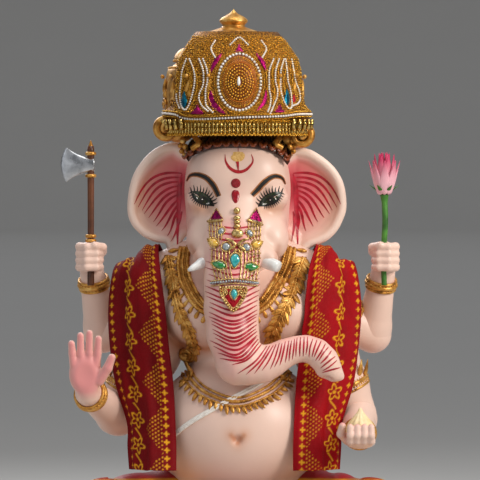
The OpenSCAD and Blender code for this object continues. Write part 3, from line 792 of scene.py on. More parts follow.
def ear(side, edge, name, node):
    """One ear: a thin dished shell with a rolled rim, sprayed rose towards the head, with red veins."""
    smooth = spline(np.vstack([edge, edge[:1]]), 90)[:-1]
    low = (min(smooth[:, 0]) - 8, -20, min(smooth[:, 1]) - 8)
    high = (max(smooth[:, 0]) + 8, 34, max(smooth[:, 1]) + 8)
    clay = Clay(low, high, 1.6)
    x, z = np.meshgrid(clay.axes[0], clay.axes[2], indexing="ij")
    gap = outline_gap(x, z, smooth)
    out = side * x
    # The ear leans back towards its outer edge, and is dished inside its rolled rim.
    back = 2 + 0.05 * (out - 60) + 3.0 * np.sin((z - 370) / 26)
    dish = 5.5 * np.clip((-gap - 7) / 12, 0, 1) * np.clip((out - 62) / 12, 0, 1)
    y = clay.axes[1][None, :, None]
    front, half, rounding = back[:, None, :], 4.2 - dish[:, None, :] * 0.25, 3.6
    a = gap[:, None, :] + rounding
    b = np.abs(y - front - dish[:, None, :]) - half + rounding
    corner = np.sqrt(np.maximum(a, 0) ** 2 + np.maximum(b, 0) ** 2)
    sheet = corner + np.minimum(np.maximum(a, b), 0) - rounding
    rim = np.sqrt((gap[:, None, :] + 5.2) ** 2 + (y - front + 0.5) ** 2) - 5.0
    clay.d = np.minimum(sheet, rim).astype(np.float32)
    soft = np.clip(0.5 + 0.5 * (rim - sheet) / 3.0, 0, 1)
    clay.d = (rim + (sheet - rim) * soft - 3.0 * soft * (1 - soft)).astype(np.float32)
    verts, faces = clay.skin()
    coat = Paint(verts, CREAM)
    depth = -outline_gap(verts[:, 0], verts[:, 2], smooth)
    reach = side * verts[:, 0]
    front_side = np.clip(-3 * normals_of(verts, faces)[:, 1], 0, 1)
    lower = np.clip((verts[:, 2] - 380) / 60, 0, 1)
    rim_width = 5 + 8 * np.clip((verts[:, 2] - 430) / 50, 0, 1)
    coat.coat(TAN, front_side * (0.25 + 0.6 * lower) * np.clip((depth - rim_width) / 6, 0, 1))
    fan = np.hypot((reach - 72) / 44, (verts[:, 2] - 440) / 52)
    coat.coat(ROSE,
              front_side * 0.95 * np.clip(1.3 - fan, 0, 0.9) * np.clip((depth - rim_width + 4) / 6, 0, 1))
    coat.coat(CRIMSON,
              front_side * 0.85 * np.clip((82 - reach) / 8, 0, 1)
              * np.clip(1.4 - abs(verts[:, 2] - 443) / 24, 0, 1))
    coat.coat(srgb("dfa38c"),
              front_side * 0.5 * np.clip((74 - reach) / 10, 0, 1) * np.clip((430 - verts[:, 2]) / 40, 0, 1))
    build(name, verts, faces, ENAMEL, replaces=(node,), colours=coat.rgb)
    surface = bvh_of(verts, faces)
    veins = Heap()

    def curve(a, b, c, count=14):
        t = np.linspace(0, 1, count)[:, None]
        return (1 - t) ** 2 * V(*a) + 2 * t * (1 - t) * V(*b) + t**2 * V(*c)

    count = 10
    for k in range(count):
        t = k / (count - 1)
        start = V(side * (70 + 5 * math.sin(t * 3.1)), 463 - 48 * t)
        bow = V(side * (112 - 42 * t**0.8), 470 - 74 * t)
        tip = curve((side * 132, 424), (side * 116, 408), (side * (86 - (side + 1) * 8), 377), count)[k]
        path = curve(start, bow, tip)
        sway = np.sin(np.linspace(0, 4.4, len(path))) * (1.6 + k % 3)
        path[:, 0] += side * sway
        stroke(veins, surface, path, [1.6, 3.4, 3.2, 2.2, 0.5], 0.35)
    for k in range(3):
        shift = 4.0 * k
        stroke(veins, surface,
               curve((side * 70, 462 - shift), (side * (77 - k), 440), (side * (74 + k), 404 - 5 * shift)),
               [1.5, 5.5, 5.0, 3.0, 0.6], 0.3)
    build_heap(name + "_veins", veins, CRIMSON_PAINT)


ear(-1, LEFT_EDGE, "right_ear_shell", "right_ear")
ear(1, RIGHT_EDGE, "left_ear_shell", "left_ear")


# ---------------------------------------------------------------- tusks and hair
def tusks():
    """A whole tusk on one side and a broken stump on the other."""
    whole = (V(-30, -64, 362), V(-61, -90, 343), [9.5, 9.2, 8.4, 7.2, 5.6, 4.4, 2.0])
    broken = (V(26, -64, 360), V(51, -84, 347), [9.2, 9.4, 9.2, 8.8, 8.3, 7.9, 7.0])
    for node, (root, tip, radii) in (("whole_tusk", whole), ("broken_tusk", broken)):
        heap = Heap()
        line = spline([root, (root + tip) / 2 + V(0, -2, -1.5), tip], len(radii))
        tube(heap, line, radii, sides=16)
        build_heap(node + "_ivory", heap, IVORY, replaces=(node,))


def on_brow(x, z, lift):
    """A place over the brow: like onto(), but it doesn't turn the corner of the temples."""
    p, n = onto(HEAD, 0.9 * x, z, lift)
    return p + V(0.1 * x, 0, 0), n


def hair_top(x):
    """Height at which the hair goes under the crown's lower edge."""
    return 513.5 - 12 * (x / 64) ** 2


def head_hair():
    """A roll of moulded curls under the crown: black on top, copper where each lock curls at the brow."""
    heap, tones = Heap(), []
    rng = np.random.default_rng(11)
    hairline = spline([(-61, 479), (-52, 487.5), (-28, 494.5), (0, 496), (28, 494), (50, 487), (62, 475)], 60)
    locks = 25
    for k in range(locks):
        x, z = hairline[int((k + 0.5) / locks * 59)]
        lean = (x / 60) * 6 + rng.uniform(-1, 1)
        curl = 1 if k % 2 else -1
        top = hair_top(x)
        steps = [(x - lean, top, 2.5), (x - lean * 0.6, top - 5, 4.5), (x - 1.8 * curl, z + 6, 5.6),
                 (x + 1.5 * curl, z - 0.5, 6.2), (x + 4.4 * curl, z + 1.8, 6.0),
                 (x + 3.4 * curl, z + 5.4, 5.6)]
        flat = spline([(a, b) for a, b, _ in steps], 18)
        lift = np.interp(np.linspace(0, 1, 18), np.linspace(0, 1, len(steps)), [s[2] for s in steps])
        pairs = [on_brow(px, pz, h) for (px, pz), h in zip(flat, lift)]
        before = heap.count
        radii = np.interp(np.linspace(0, 1, 18), [0, 0.3, 0.75, 1], [3.4, 3.2, 2.1, 0.9])
        tube(heap, [p for p, _ in pairs], radii, up=[n for _, n in pairs], sides=8, flat=0.8)
        tones.append(np.clip((heap.verts[-1][:, 2] - z - 2.5) / 7, 0, 1) + np.zeros(heap.count - before))
    rows = []
    for lift, share in ((0.5, -0.06), (4.0, 0.05), (5.0, 0.45), (3.0, 1.0)):
        rows.append([on_brow(x, z + share * (hair_top(x) - z), lift)[0] for x, z in hairline])
    before = heap.count
    heap.put(np.array(rows).reshape(-1, 3), lattice(4, 60))
    tones.append(np.full(heap.count - before, 0.8))
    dark = np.concatenate(tones)[:, None]
    colours = srgb("8a3f1c") * (1 - dark) + srgb("100805") * dark
    verts, faces = heap.arrays()
    build("moulded_hair", verts, faces, HAIR, replaces=("hair_fringe",), colours=colours)


def temple_clusters():
    """Small cast bosses that end the crown's lower edge at each temple."""
    heap = Heap()
    for s in (-1, 1):
        for dx, z, r in ((0, 504, 4.4), (3, 498, 3.6), (-3, 496.5, 4.0), (1.5, 491, 3.6), (-2, 486.5, 3.0)):
            beads(heap, V(s * (68.5 + dx), -27 + 0.6 * dx, z), r, 4)
    build_heap("temple_bosses", heap, GOLD_PAINT)


IVORY = finish("ivory_white", ["dcdcda", "f6f6f4"], rough=(0.18, 0.3), scale=60.0)
HAIR = painted("hair_enamel", rough=(0.16, 0.28))
tusks()
head_hair()
temple_clusters()


# ---------------------------------------------------------------- crown and its beaded cover
CROWN_Z = 507.0
CROWN_LINE = [(76, 7), (81, 8), (84, 12), (84, 22), (90, 28), (93, 33), (87, 42), (86, 58), (83.5, 84),
              (79, 90), (73, 95), (75, 101), (67, 112), (50, 119), (52, 125), (34, 134), (22, 138), (14, 142),
              (18, 148), (14, 153), (5, 158), (0.4, 163)]
COVER_Z = 511.0
COVER_LINE = [(-3, 90.5), (18, 90.8), (24, 97), (29, 97.5), (36, 92.5), (46, 90), (80, 88), (96, 83.5),
              (116, 70), (130, 57)]


def cover_radius(z):
    heights, radii = zip(*COVER_LINE)
    return float(np.interp(z - COVER_Z, heights, radii))


def crown_axis(z):
    """The cast crown leans a little to one side above its brow band."""
    return -5.0 * step_up(z, 534, 556)


def crown():
    """The cast crown: bands, a ring of upright leaves, and a finial."""
    profile = spline(CROWN_LINE, 110)
    sides = 192
    turn = np.arange(sides) * TAU / sides
    rows = []
    for r, z in profile:
        leaf = np.exp(-((z - 62) / 18) ** 2) * 1.8 * np.abs(np.cos(turn * 9)) ** 0.7
        low_flutes = np.exp(-((z - 13) / 6) ** 2) * 0.8 * np.cos(turn * 48)
        high_flutes = np.exp(-((z - 108) / 9) ** 2) * np.cos(turn * 24)
        flute = low_flutes + high_flutes
        ring = max(r, 0.4) + (leaf + flute) * min(r / 40, 1)
        rows.append(np.stack([ring * np.cos(turn) + crown_axis(CROWN_Z + z), ring * np.sin(turn),
                              np.full(sides, CROWN_Z + z)], axis=1))
    heap = Heap()
    # The underside and the mouth close the bottom.
    inner = [np.stack([q * np.cos(turn), q * np.sin(turn), np.full(sides, CROWN_Z + z)], axis=1)
             for q, z in ((46, 16), (56, 14), (70, 9))]
    rows = inner + rows
    heap.put(np.array(rows).reshape(-1, 3), lattice(len(rows), sides, closed=True))
    for height, radius, bead, count in ((89, 81.5, 1.7, 84), (98, 75.5, 1.6, 80), (121, 52, 1.5, 60)):
        a = np.arange(count) * TAU / count
        beads(heap,
              np.stack([radius * np.cos(a) - 5, radius * np.sin(a), np.full(count, CROWN_Z + height)],
                       axis=1), bead, 2)
    # Leaves, bosses and small whorls stand out between the flutes.
    for k in range(18):
        a = (k + 0.5) * TAU / 18
        out = V(math.cos(a), math.sin(a), 0)
        side = V(-math.sin(a), math.cos(a), 0)
        base = V(-5, 0, CROWN_Z)
        lump(heap, out * 87.5 + base + V(0, 0, 66), [unit(V(0, 0, 1) + 0.3 * side), side, out],
             (10, 4.4, 4.4), 0.6, 4)
        lump(heap, out * 86.5 + base + V(0, 0, 56) + side * 3, [V(0, 0, 1), side, out], (6.5, 4.6, 4.6), 0.3,
             4)
        whorl = np.linspace(0, 1, 26)
        swirl = whorl * 1.6 * TAU
        r = 6.8 * (1 - whorl) + 0.8
        centre = out * 88 + base + V(0, 0, 43)
        tube(heap, centre + (r * np.cos(swirl))[:, None] * side + (r * np.sin(swirl))[:, None] * V(0, 0, 1)
             + (whorl * 2.5)[:, None] * out, 1.9 - 0.8 * whorl, up=out, sides=6)
        beads(heap, out * 91 + base + V(0, 0, 78), 2.6, 3)
    # The crown's lower edge arches over the hair.
    arch = [(x, 517 - 10 * (x / 64) ** 2) for x in np.linspace(-70, 68, 9)]
    line = [on_brow(x, z, 8.5)[0] for x, z in spline(arch, 60)]
    tube(heap, line, 3.6, sides=10)
    build_heap("crown_moulding", heap, GOLD_PAINT, replaces=("crown_casting",))


def scrolls():
    """The scrolled ends of the crown's brow band, over the ears."""
    heap = Heap()
    for side, cx, cz, size in ((-1, -89, 518.5, 18.5), (1, 80, 510.5, 18.5)):
        t = np.linspace(0, 1, 64)
        a = math.pi / 2 - side * t * 1.6 * TAU
        r = (size - 4.4) * (1 - t) ** 0.75
        path = np.stack([cx + r * np.cos(a), -26 - 8 * t, cz + r * np.sin(a)], axis=1)
        tube(heap, path, np.interp(t, [0, 0.1, 0.4, 1], [3.4, 5.2, 4.2, 2.6]), sides=10)
        heap.put(BALLS[8][0] * V(size - 3, 12, size - 3) + V(cx, -14, cz), BALLS[8][1])
        heap.put(BALLS[8][0] * V(18, 16, 13) + V(cx - side * 16, -14, cz - 4), BALLS[8][1])
    build_heap("brow_scrolls", heap, GOLD_PAINT, replaces=("crown_scrolls",))


def evenly(points, pitch):
    """Points one pitch apart along a line in space."""
    walk = np.concatenate([[0], np.cumsum(np.linalg.norm(np.diff(points, axis=0), axis=1))])
    count = max(2, int(round(walk[-1] / pitch)) + 1)
    at = np.linspace(0, walk[-1], count)
    return np.stack([np.interp(at, walk, points[:, k]) for k in range(3)], axis=1)


def on_cover(x, z, lift=0.0):
    r = cover_radius(z) + lift
    off = crown_axis(z)
    return V(x, -math.sqrt(max(r * r - (x - off) ** 2, 0.0)), z)


def bead_line(heap, path, radius, lift, pitch=None, closed=False):
    """Beads strung along a line of (x, z) points on the crown cover."""
    line = spline(list(path) + [path[0]] if closed else path, 80)
    points = evenly(np.array([on_cover(x, z, lift) for x, z in line]), pitch or 2 * radius)
    beads(heap, points[:-1] if closed else points, radius)


def patch_on_cover(heap, outline, lift, swell=1.2, rings=6):
    """A small padded foil shape on the crown cover, domed in the middle."""
    edge = np.asarray(outline, dtype=np.float64)
    middle = edge.mean(axis=0)
    rows = [[on_cover(*(middle + (q - middle) * k), lift + swell * (1 - k * k)) for q in edge]
            for k in np.linspace(1.0, 0.02, rings)]
    rows.insert(0, [on_cover(*q, 0.0) for q in edge])
    heap.put(np.array(rows).reshape(-1, 3), lattice(len(rows), len(edge), closed=True))


def drop_outline(x, z, wide, tall, count=20):
    """A drop: round below and drawn to a point above."""
    a = np.linspace(0, TAU, count, endpoint=False)
    high = np.sin(a)
    return np.stack([x + wide / 2 * np.cos(a) * np.clip(1 - 0.5 * (high + 0.2), 0.1, 1), z + tall / 2 * high],
                    axis=1)


def crescent_outline(path, width):
    line = spline(path, 12)
    along = np.gradient(line, axis=0)
    side = np.stack([-along[:, 1], along[:, 0]], axis=1) / np.linalg.norm(along, axis=1)[:, None]
    half = width / 2 * np.sin(np.linspace(0.06, 0.97, 12) * math.pi)[:, None]
    return np.vstack([line + side * half, (line - side * half)[::-1]])


MEDALLION = (2.4, 577.0)
OVAL = 1.3  # height of the medallion against its width


def cover_cloth():
    """The stiff cloth of the crown cover, with its gold thread ground."""
    heights = np.concatenate([np.linspace(-1, 18, 6), np.linspace(20, 40, 10), np.linspace(43, 130, 24)])
    spread = np.linspace(0, 1, 91)

    def layer(inward):
        rows = []
        for h in heights:
            z = COVER_Z + h
            r = cover_radius(z) - inward
            turn = np.radians(-75 + 19 * step_up(z, 536, 552) + spread * (150 - 17 * step_up(z, 536, 552)))
            rows.append(np.stack([crown_axis(z) + r * np.sin(turn), -r * np.cos(turn), np.full(91, z)],
                                 axis=1))
        return np.array(rows)

    outer, inner = layer(0.0), layer(3.0)
    heap = Heap()
    grid = np.concatenate([outer, inner[::-1], outer[:1]])
    heap.put(grid.reshape(-1, 3), lattice(len(grid), 91))
    for col in (0, -1):
        heap.put(np.stack([outer[:, col], inner[:, col]], axis=1).reshape(-1, 3), lattice(len(heights), 2))
    build_heap("crown_cover_cloth", heap, ZARI, body="crown_cover", replaces=("crown_cover_shell",))


def cover_pearls():
    heap = Heap()
    bead_line(heap,
              [(-94, 538.6), (-85, 538), (-76.5, 536.3), (-71, 533.2), (-60, 531.2), (-36, 531.2), (6, 533),
                     (54, 534.5), (75, 537), (93, 537.5)], 1.55, 1.4, 3.8)
    cx, cz = MEDALLION
    bead_line(heap,
              [(cx + 26.6 * math.sin(a), cz - 35.2 * math.cos(a))
               for a in np.linspace(0, TAU, 24, endpoint=False)],
              1.8, 1.8, 4.3, closed=True)
    strings = [
        [(-60, 606), (-54.5, 592), (-53.4, 578), (-56.6, 561), (-61.4, 547), (-66.2, 542.6), (-71, 550),
         (-72, 564), (-71, 575), (-69, 592), (-64, 606)],
        [(-76.5, 562), (-75.8, 554), (-72.5, 545)],
        [(-48, 606), (-43, 592), (-42.3, 578), (-44, 570), (-47.4, 563), (-47.8, 555), (-43.9, 547),
         (-37, 541)],
        [(-43, 606), (-38, 592), (-37.5, 578), (-39.5, 569), (-39.9, 558), (-38.7, 548), (-31, 539.5)],
        [(45, 606), (39.8, 592), (39.4, 578), (39.6, 568), (41.4, 558), (40.6, 548), (37.8, 540.5)],
        [(52, 606), (47.8, 592), (47.4, 578), (49.8, 569), (49.4, 559), (45.8, 549.5), (41, 538)],
        [(58, 606), (54.2, 592), (53.8, 578), (54, 568), (56.4, 558), (60.9, 548), (64.9, 544), (68, 548.5),
         (66.4, 566), (63.3, 578), (62, 592), (60, 606)],
        [(68, 606), (70.5, 592), (73, 578), (77.6, 566), (78.4, 556), (75.4, 550.6), (69.6, 548)],
        [(-28, 608), (-33, 619), (-28, 629)], [(31, 608), (36, 619), (30, 629)],
        [(-9, 624), (2, 633), (13, 624)],
    ]
    for path in strings:
        bead_line(heap, path, 1.25, 1.1, 2.9)
    lump(heap, on_cover(cx - 0.8, cz + 1, 8.6), [V(0, 0, 1), V(1, 0, 0), V(0, -1, 0)], (5.8, 2.5, 2.5), 0.4,
         8)
    build_heap("cover_pearl_strings", heap, PEARL, body="crown_cover", replaces=("crown_cover_pearls",))


def cover_gold_beads():
    """Gold bead rows that edge every motif, and the fine beading between them."""
    gold, orange = Heap(), Heap()
    cx, cz = MEDALLION

    def dome(r):
        return 1.0 + 6.0 * max(0.0, 1 - (r / 25) ** 2)

    def ring(heap, r, bead, pitch=2.3):
        loop = [on_cover(cx + r * math.sin(a), cz + OVAL * r * math.cos(a), dome(r) + bead * 0.6)
                for a in np.linspace(0, TAU, 60)]
        beads(heap, evenly(np.array(loop), pitch * bead)[:-1], bead)

    for r, bead in ((4.6, 1.35), (7.6, 1.4), (10.7, 1.45), (13.8, 1.5), (16.9, 1.5), (24.0, 1.0)):
        ring(gold, r, bead)
    ring(orange, 19.0, 0.8, 2.0)
    for r in (20.6, 22.5):
        ring(gold, r, 0.8, 3.0)
    build_heap("medallion_beads", gold, BEAD_GOLD, body="crown_cover")
    build_heap("medallion_orange_beads", orange, BEAD_ORANGE, body="crown_cover")
    base = Heap()
    rows = [[on_cover(cx + r * math.sin(a), cz + OVAL * r * math.cos(a), dome(r) if r < 25.5 else 0.0)
             for a in np.linspace(0, TAU, 64, endpoint=False)] for r in (26, 25.4, 22, 18, 14, 9, 4, 0.3)]
    base.put(np.array(rows).reshape(-1, 3), lattice(len(rows), 64, closed=True))
    build_heap("medallion_pad", base, MEDALLION_GROUND, body="crown_cover",
               replaces=("crown_cover_medallion",))
    fine = Heap()
    for path in ([(-56.5, 600), (-51, 585), (-50.5, 572), (-54, 556), (-60, 543)],
                 [(-34.5, 592), (-34.5, 577), (-36.5, 560), (-33, 548)],
                 [(-66.5, 590), (-68.5, 578), (-69.4, 566)], [(-63, 594), (-58, 580), (-59.8, 564)],
                 [(36, 592), (36.4, 577), (38, 562)], [(44, 600), (43.4, 585), (45.6, 568), (44.6, 552)],
                 [(51, 596), (50.8, 580), (52.6, 566), (56.6, 548)], [(60, 592), (57.6, 575), (59.4, 562)],
                 [(70, 590), (68.6, 575), (72.6, 562)], [(-60, 535.6), (-38, 536), (-28, 537.6)],
                 [(26, 538), (40, 536.6), (62, 538.8)],
                 [(-94, 535.6), (-76, 533.4), (-70, 530), (-36, 528.6), (6, 530.2), (54, 531.6), (75, 534),
                  (93, 534.6)],
                 [(-94, 541.8), (-76, 540), (-69, 537), (-60, 534.4), (-36, 534.2), (6, 536), (54, 537.6),
                  (75, 540.2), (88, 541)]):
        bead_line(fine, path, 0.95, 0.8, 2.0)
    for r in (28.9, 31.0):
        loop = [on_cover(cx + r * math.sin(a), cz - (r * 1.03 + 7.8) * math.cos(a), 0.7)
                for a in np.linspace(0, TAU, 72)]
        beads(fine, evenly(np.array(loop), 2.1)[:-1], 0.9)
    rng = np.random.default_rng(3)
    for z in np.arange(541, 637, 2.6):
        r, off = cover_radius(z), crown_axis(z)
        count = int(r * 2.3 / 2.7)
        for k in range(count):
            x = off + r * math.sin(math.radians(-55 + 131 * (k + rng.uniform(0.1, 0.9)) / count))
            if math.hypot((x - cx) / 33, (z - cz) / 42) > 1:
                beads(fine, on_cover(x, z + rng.uniform(-0.8, 0.8), 0.35), rng.uniform(0.75, 1.05))
    build_heap("cover_fine_beads", fine, BEAD_GOLD, body="crown_cover")


def cover_foils():
    magenta, teal, red = Heap(), Heap(), Heap()
    patch_on_cover(magenta, crescent_outline([(-33.8, 567), (-33.6, 556), (-28.5, 547.5), (-15, 537)], 8.0),
                   0.8)
    patch_on_cover(magenta, crescent_outline([(35.6, 567), (35.2, 557), (30.6, 548), (23, 540)], 4.8), 0.8)
    patch_on_cover(magenta, crescent_outline([(-34, 588), (-29, 600), (-19, 614)], 6), 0.8)
    patch_on_cover(magenta, crescent_outline([(36, 590), (32, 601), (23, 614)], 6), 0.8)
    for x, z, half, tall in ((-50.5, 543.4, 8.6, 12.6), (52.8, 545, 7, 11), (2, 620, 6, 11)):
        patch_on_cover(magenta,
                       spline([(x - half, z - tall / 2), (x, z - tall / 2 - 0.4), (x + half, z - tall / 2),
                                        (x + half * 0.45, z), (x, z + tall / 2), (x - half * 0.45, z),
                                        (x - half, z - tall / 2)], 24)[:-1], 0.8)
    for x, z in ((-66.8, 555.4), (62, 558.5)):
        patch_on_cover(teal, drop_outline(x, z, 8.0, 21), 1.0, 1.8)
    patch_on_cover(red, drop_outline(71, 557, 4.4, 11), 1.0, 1.4)
    for heap, name, material in ((magenta, "cover_magenta_foils", MAGENTA_FOIL),
                                 (teal, "cover_teal_drops", TEAL_FOIL), (red, "cover_red_drop", RED_FOIL)):
        build_heap(name, heap, material, body="crown_cover")


def cover_fringe():
    """Upright bugles between strings of seed beads, with a scalloped edge of beads below."""
    bugles, seeds = Heap(), Heap()
    rng = np.random.default_rng(9)
    count, half = 47, 72

    def band(angle, z, r=93.0):
        return V(r * math.sin(angle), -r * math.cos(angle), z)

    pitch = math.radians(2 * half / (count - 1))
    for k in range(count):
        a = math.radians(-half) + pitch * k
        out = band(a, 0, 1.0)
        lean = rng.uniform(-0.35, 0.35)
        for low, high in ((513.2, 519.8), (520.4, 527)):
            tube(bugles, [band(a, low) + V(lean, 0, 0), band(a, high)], 1.55, up=out, sides=8)
        if k == count - 1:
            continue
        for z in np.arange(513.4, 529, 1.9):
            beads(seeds, band(a + pitch / 2, z, 93.2), 0.7)
        for j, drop in ((0.1, 0.2), (0.3, 1.4), (0.5, 1.9), (0.7, 1.4), (0.9, 0.2)):
            beads(seeds, band(a + pitch * j, 512.6 - drop, 93.8), 1.0)
    for s in (-1, 1):
        for k in range(5):
            a = math.radians(s * (46 + 6.5 * k))
            out = band(a, 0, 1.0)
            tube(bugles, [out * 96.5 + V(0, 0, 517.5), out * 98.5 + V(0, 0, 531)], 2.7, up=out, sides=10)
    rows = np.radians(np.linspace(-73, 73, 130))
    for r, z, bead in ((93.4, 529.4, 1.0), (92.9, 527.9, 0.8)):
        beads(seeds, np.stack([r * np.sin(rows), -r * np.cos(rows), np.full(len(rows), z)], axis=1), bead)
    build_heap("fringe_bugles", bugles, BUGLE, body="crown_cover", replaces=("crown_cover_fringe",))
    build_heap("fringe_seed_beads", seeds, BEAD_GOLD, body="crown_cover")


def zari():
    """Gold thread laid so close that it reads as a gold ground, with painted glints on the threads and
    painted shade in the gaps.
    """
    n = Nodes("gold_thread_ground")
    cell = n.make("ShaderNodeTexVoronoi")
    cell.inputs["Scale"].default_value = 640.0
    n.link(n.place, cell.inputs["Vector"])
    # Bright at the middle of each little cell and near black at its edges: a painted glint on each thread and
    # painted shade between them.
    tone = n.ramp(cell.outputs["Distance"],
                  [(0.1, srgb("d9982a")), (0.5, srgb("8a5410")), (0.85, srgb("2e1804"))])
    n.link(tone, n.shader.inputs["Base Color"])
    n.link(n.span(n.noise(300.0), 0.22, 0.5), n.shader.inputs["Roughness"])
    n.bump(cell.outputs["Distance"], 0.9, -0.0012)
    n.set(Metallic=0.75)
    return n.material


ZARI = zari()
MEDALLION_GROUND = finish("medallion_ground", ["5c2604", "a45208"], metallic=0.4, rough=(0.3, 0.5),
                          scale=300.0)
crown()
scrolls()
cover_cloth()
cover_pearls()
cover_gold_beads()
cover_foils()
cover_fringe()

# ---------------------------------------------------------------- body
def torso_skin():
    clay = Clay((-202, -118, -4), (202, 112, 414), 2.2)
    clay.egg((0, -12, 140), (108, 92, 92), 10)
    clay.egg((-4, 5, 285), (92, 64, 75), 20)
    clay.limb([(-2, 8, 350, 45), (-2, 6, 392, 42)], 14)
    clay.egg((0, 4, 56), (108, 74, 54), 16)
    for s in (-1, 1):
        clay.egg((s * 47, -38, 286), (44, 30, 38), 14)
        clay.limb([(s * 36, 6, 362, 28), (s * 92, 4, 326, 38)], 16)
        clay.limb([(s * 106, -2, 294, 37), (s * 112, -3, 236, 38), (s * 132, 2, 196, 32),
                   (s * 150, 5, 158, 26)], 10)
        clay.limb([(s * 92, 30, 305, 31), (s * 172, 48, 258, 24)], 12)
    clay.egg((0, -106, 132), (5, 8, 5), 6, cut=True)
    return clay.skin()


def paint_torso(verts, faces):
    coat = Paint(verts, SKIN)
    normals = normals_of(verts, faces)
    # Surfaces that face downwards are painted a darker pink: painted shade under the belly, chest and arms.
    coat.coat(srgb("e3a596"), 0.5 * np.clip(-normals[:, 2] - 0.25, 0, 1))
    # Orange-brown along the armpit folds, the fold under the chest and round the navel: the idol's own
    # sprayed crease tone, which also paints in the shade that falls there.
    for path, width in (([(-94, 276), (-86, 258), (-72, 244)], 4.0),
                        ([(-72, 248), (-40, 243), (-12, 250)], 3.2), ([(88, 276), (82, 258), (70, 246)], 4.0),
                        ([(70, 248), (40, 243), (14, 250)], 3.2), ([(-8, 138), (0, 128), (8, 138)], 3.0)):
        coat.line(CREASE_SHADE_BROWN, path, width, 0.75)
        coat.line(PEACH, path, width * 3, 0.5)
    coat.spot(PEACH, (0, 300), (16, 60), 0.4)
    for s in (-1, 1):
        coat.spot(srgb("efb9a8"), (s * 66, 330), (30, 30), 0.4)
    return coat.rgb


torso_verts, torso_faces = torso_skin()
BODY = bvh_of(torso_verts, torso_faces)
build("torso_and_upper_arms", torso_verts, torso_faces, ENAMEL, replaces=("body_casting",),
      colours=paint_torso(torso_verts, torso_faces))


def finger(clay, points, thick, thin, soft=1.6):
    radii = np.linspace(thick, thin, len(points))
    clay.limb([(*p, r) for p, r in zip(points, radii)], soft)


def arm_piece(name, clay, nodes, palm=None):
    verts, faces = clay.skin()
    coat = Paint(verts, SKIN)
    if palm is not None:
        centre, facing_way, reach = palm
        normals = normals_of(verts, faces)
        near = np.clip((reach - np.linalg.norm(verts - centre, axis=1)) / 12, 0, 1)
        coat.coat(ROSE, 0.6 * near * np.clip(normals @ unit(V(*facing_way)), 0, 1))
    build(name, verts, faces, ENAMEL, replaces=nodes, colours=coat.rgb)


def offering_arm():
    clay = Clay((116, -168, 104), (184, 38, 190), 1.5)
    clay.limb([(150, 5, 156, 25), (150.5, -8, 153, 24.6), (152, -92, 138, 16.5)], 6)
    clay.egg((152, -122, 131), (19, 24, 8.5), 6)
    for k in range(4):
        x = 139 + 8.6 * k
        finger(clay, [(x, -134, 132), (x, -148, 134), (x, -154, 141), (x, -153, 151)], 5.2, 4.2)
    finger(clay, [(137, -106, 132), (128, -120, 141), (130, -126, 151)], 6.2, 4.6)
    arm_piece("left_forearm_and_offering_hand", clay, ("left_front_arm", "offering_hand"),
              (V(152, -126, 138), (0, 0, 1), 40))


def blessing_arm():
    clay = Clay((-218, -122, 128), (-116, 38, 284), 1.5)
    clay.limb([(-150, 5, 156, 25), (-154, -4, 159, 24.6), (-186, -84, 190, 16.5)], 6)
    clay.egg((-189, -97, 214), (20.5, 9.5, 26), 7)
    clay.egg((-189, -107, 212), (10, 3, 13), 4, cut=True)
    for k, top in enumerate((257, 267, 270, 263)):
        x = -203.5 + 9.4 * k
        spread = (x + 189) * 0.12
        finger(clay, [(x, -98, 226), (x + spread, -99, 240), (x + spread * 1.6, -101, top - 5)], 5.4, 4.3)
    finger(clay, [(-172, -98, 206), (-161, -104, 222), (-156, -106, 235)], 7, 4.8)
    arm_piece("right_forearm_and_blessing_hand", clay, ("right_front_arm", "blessing_hand"),
              (V(-189, -104, 232), (0, -1, 0), 52))


def raised_arm(s, name, nodes):
    low, high = (130, -34, 232), (212, 82, 388)
    box = (low, high) if s > 0 else ((-high[0], low[1], low[2]), (-low[0], high[1], high[2]))
    clay = Clay(*box, 1.5)
    clay.limb([(s * 172, 48, 259, 23), (s * 173, 45, 268, 22.4), (s * 184, 16, 336, 15.6)], 6)
    clay.egg((s * 185, 4, 358), (16, 17, 20), 6)
    for k in range(4):
        z = 345 + 8.6 * k
        finger(clay,
               [(s * 199, 2, z), (s * 199, -13, z), (s * 190, -21, z), (s * 178, -19, z), (s * 173, -8, z)],
               5.4, 4.8)
    finger(clay, [(s * 171, 8, 364), (s * 170, -10, 370), (s * 180, -22, 373)], 6, 4.6)
    arm_piece(name, clay, nodes)


offering_arm()
blessing_arm()
raised_arm(1, "left_raised_forearm", ("left_rear_arm", "lotus_fist"))
raised_arm(-1, "right_raised_forearm", ("right_rear_arm", "axe_fist"))

DHOTI = painted("dhoti_enamel", rough=(0.4, 0.55))


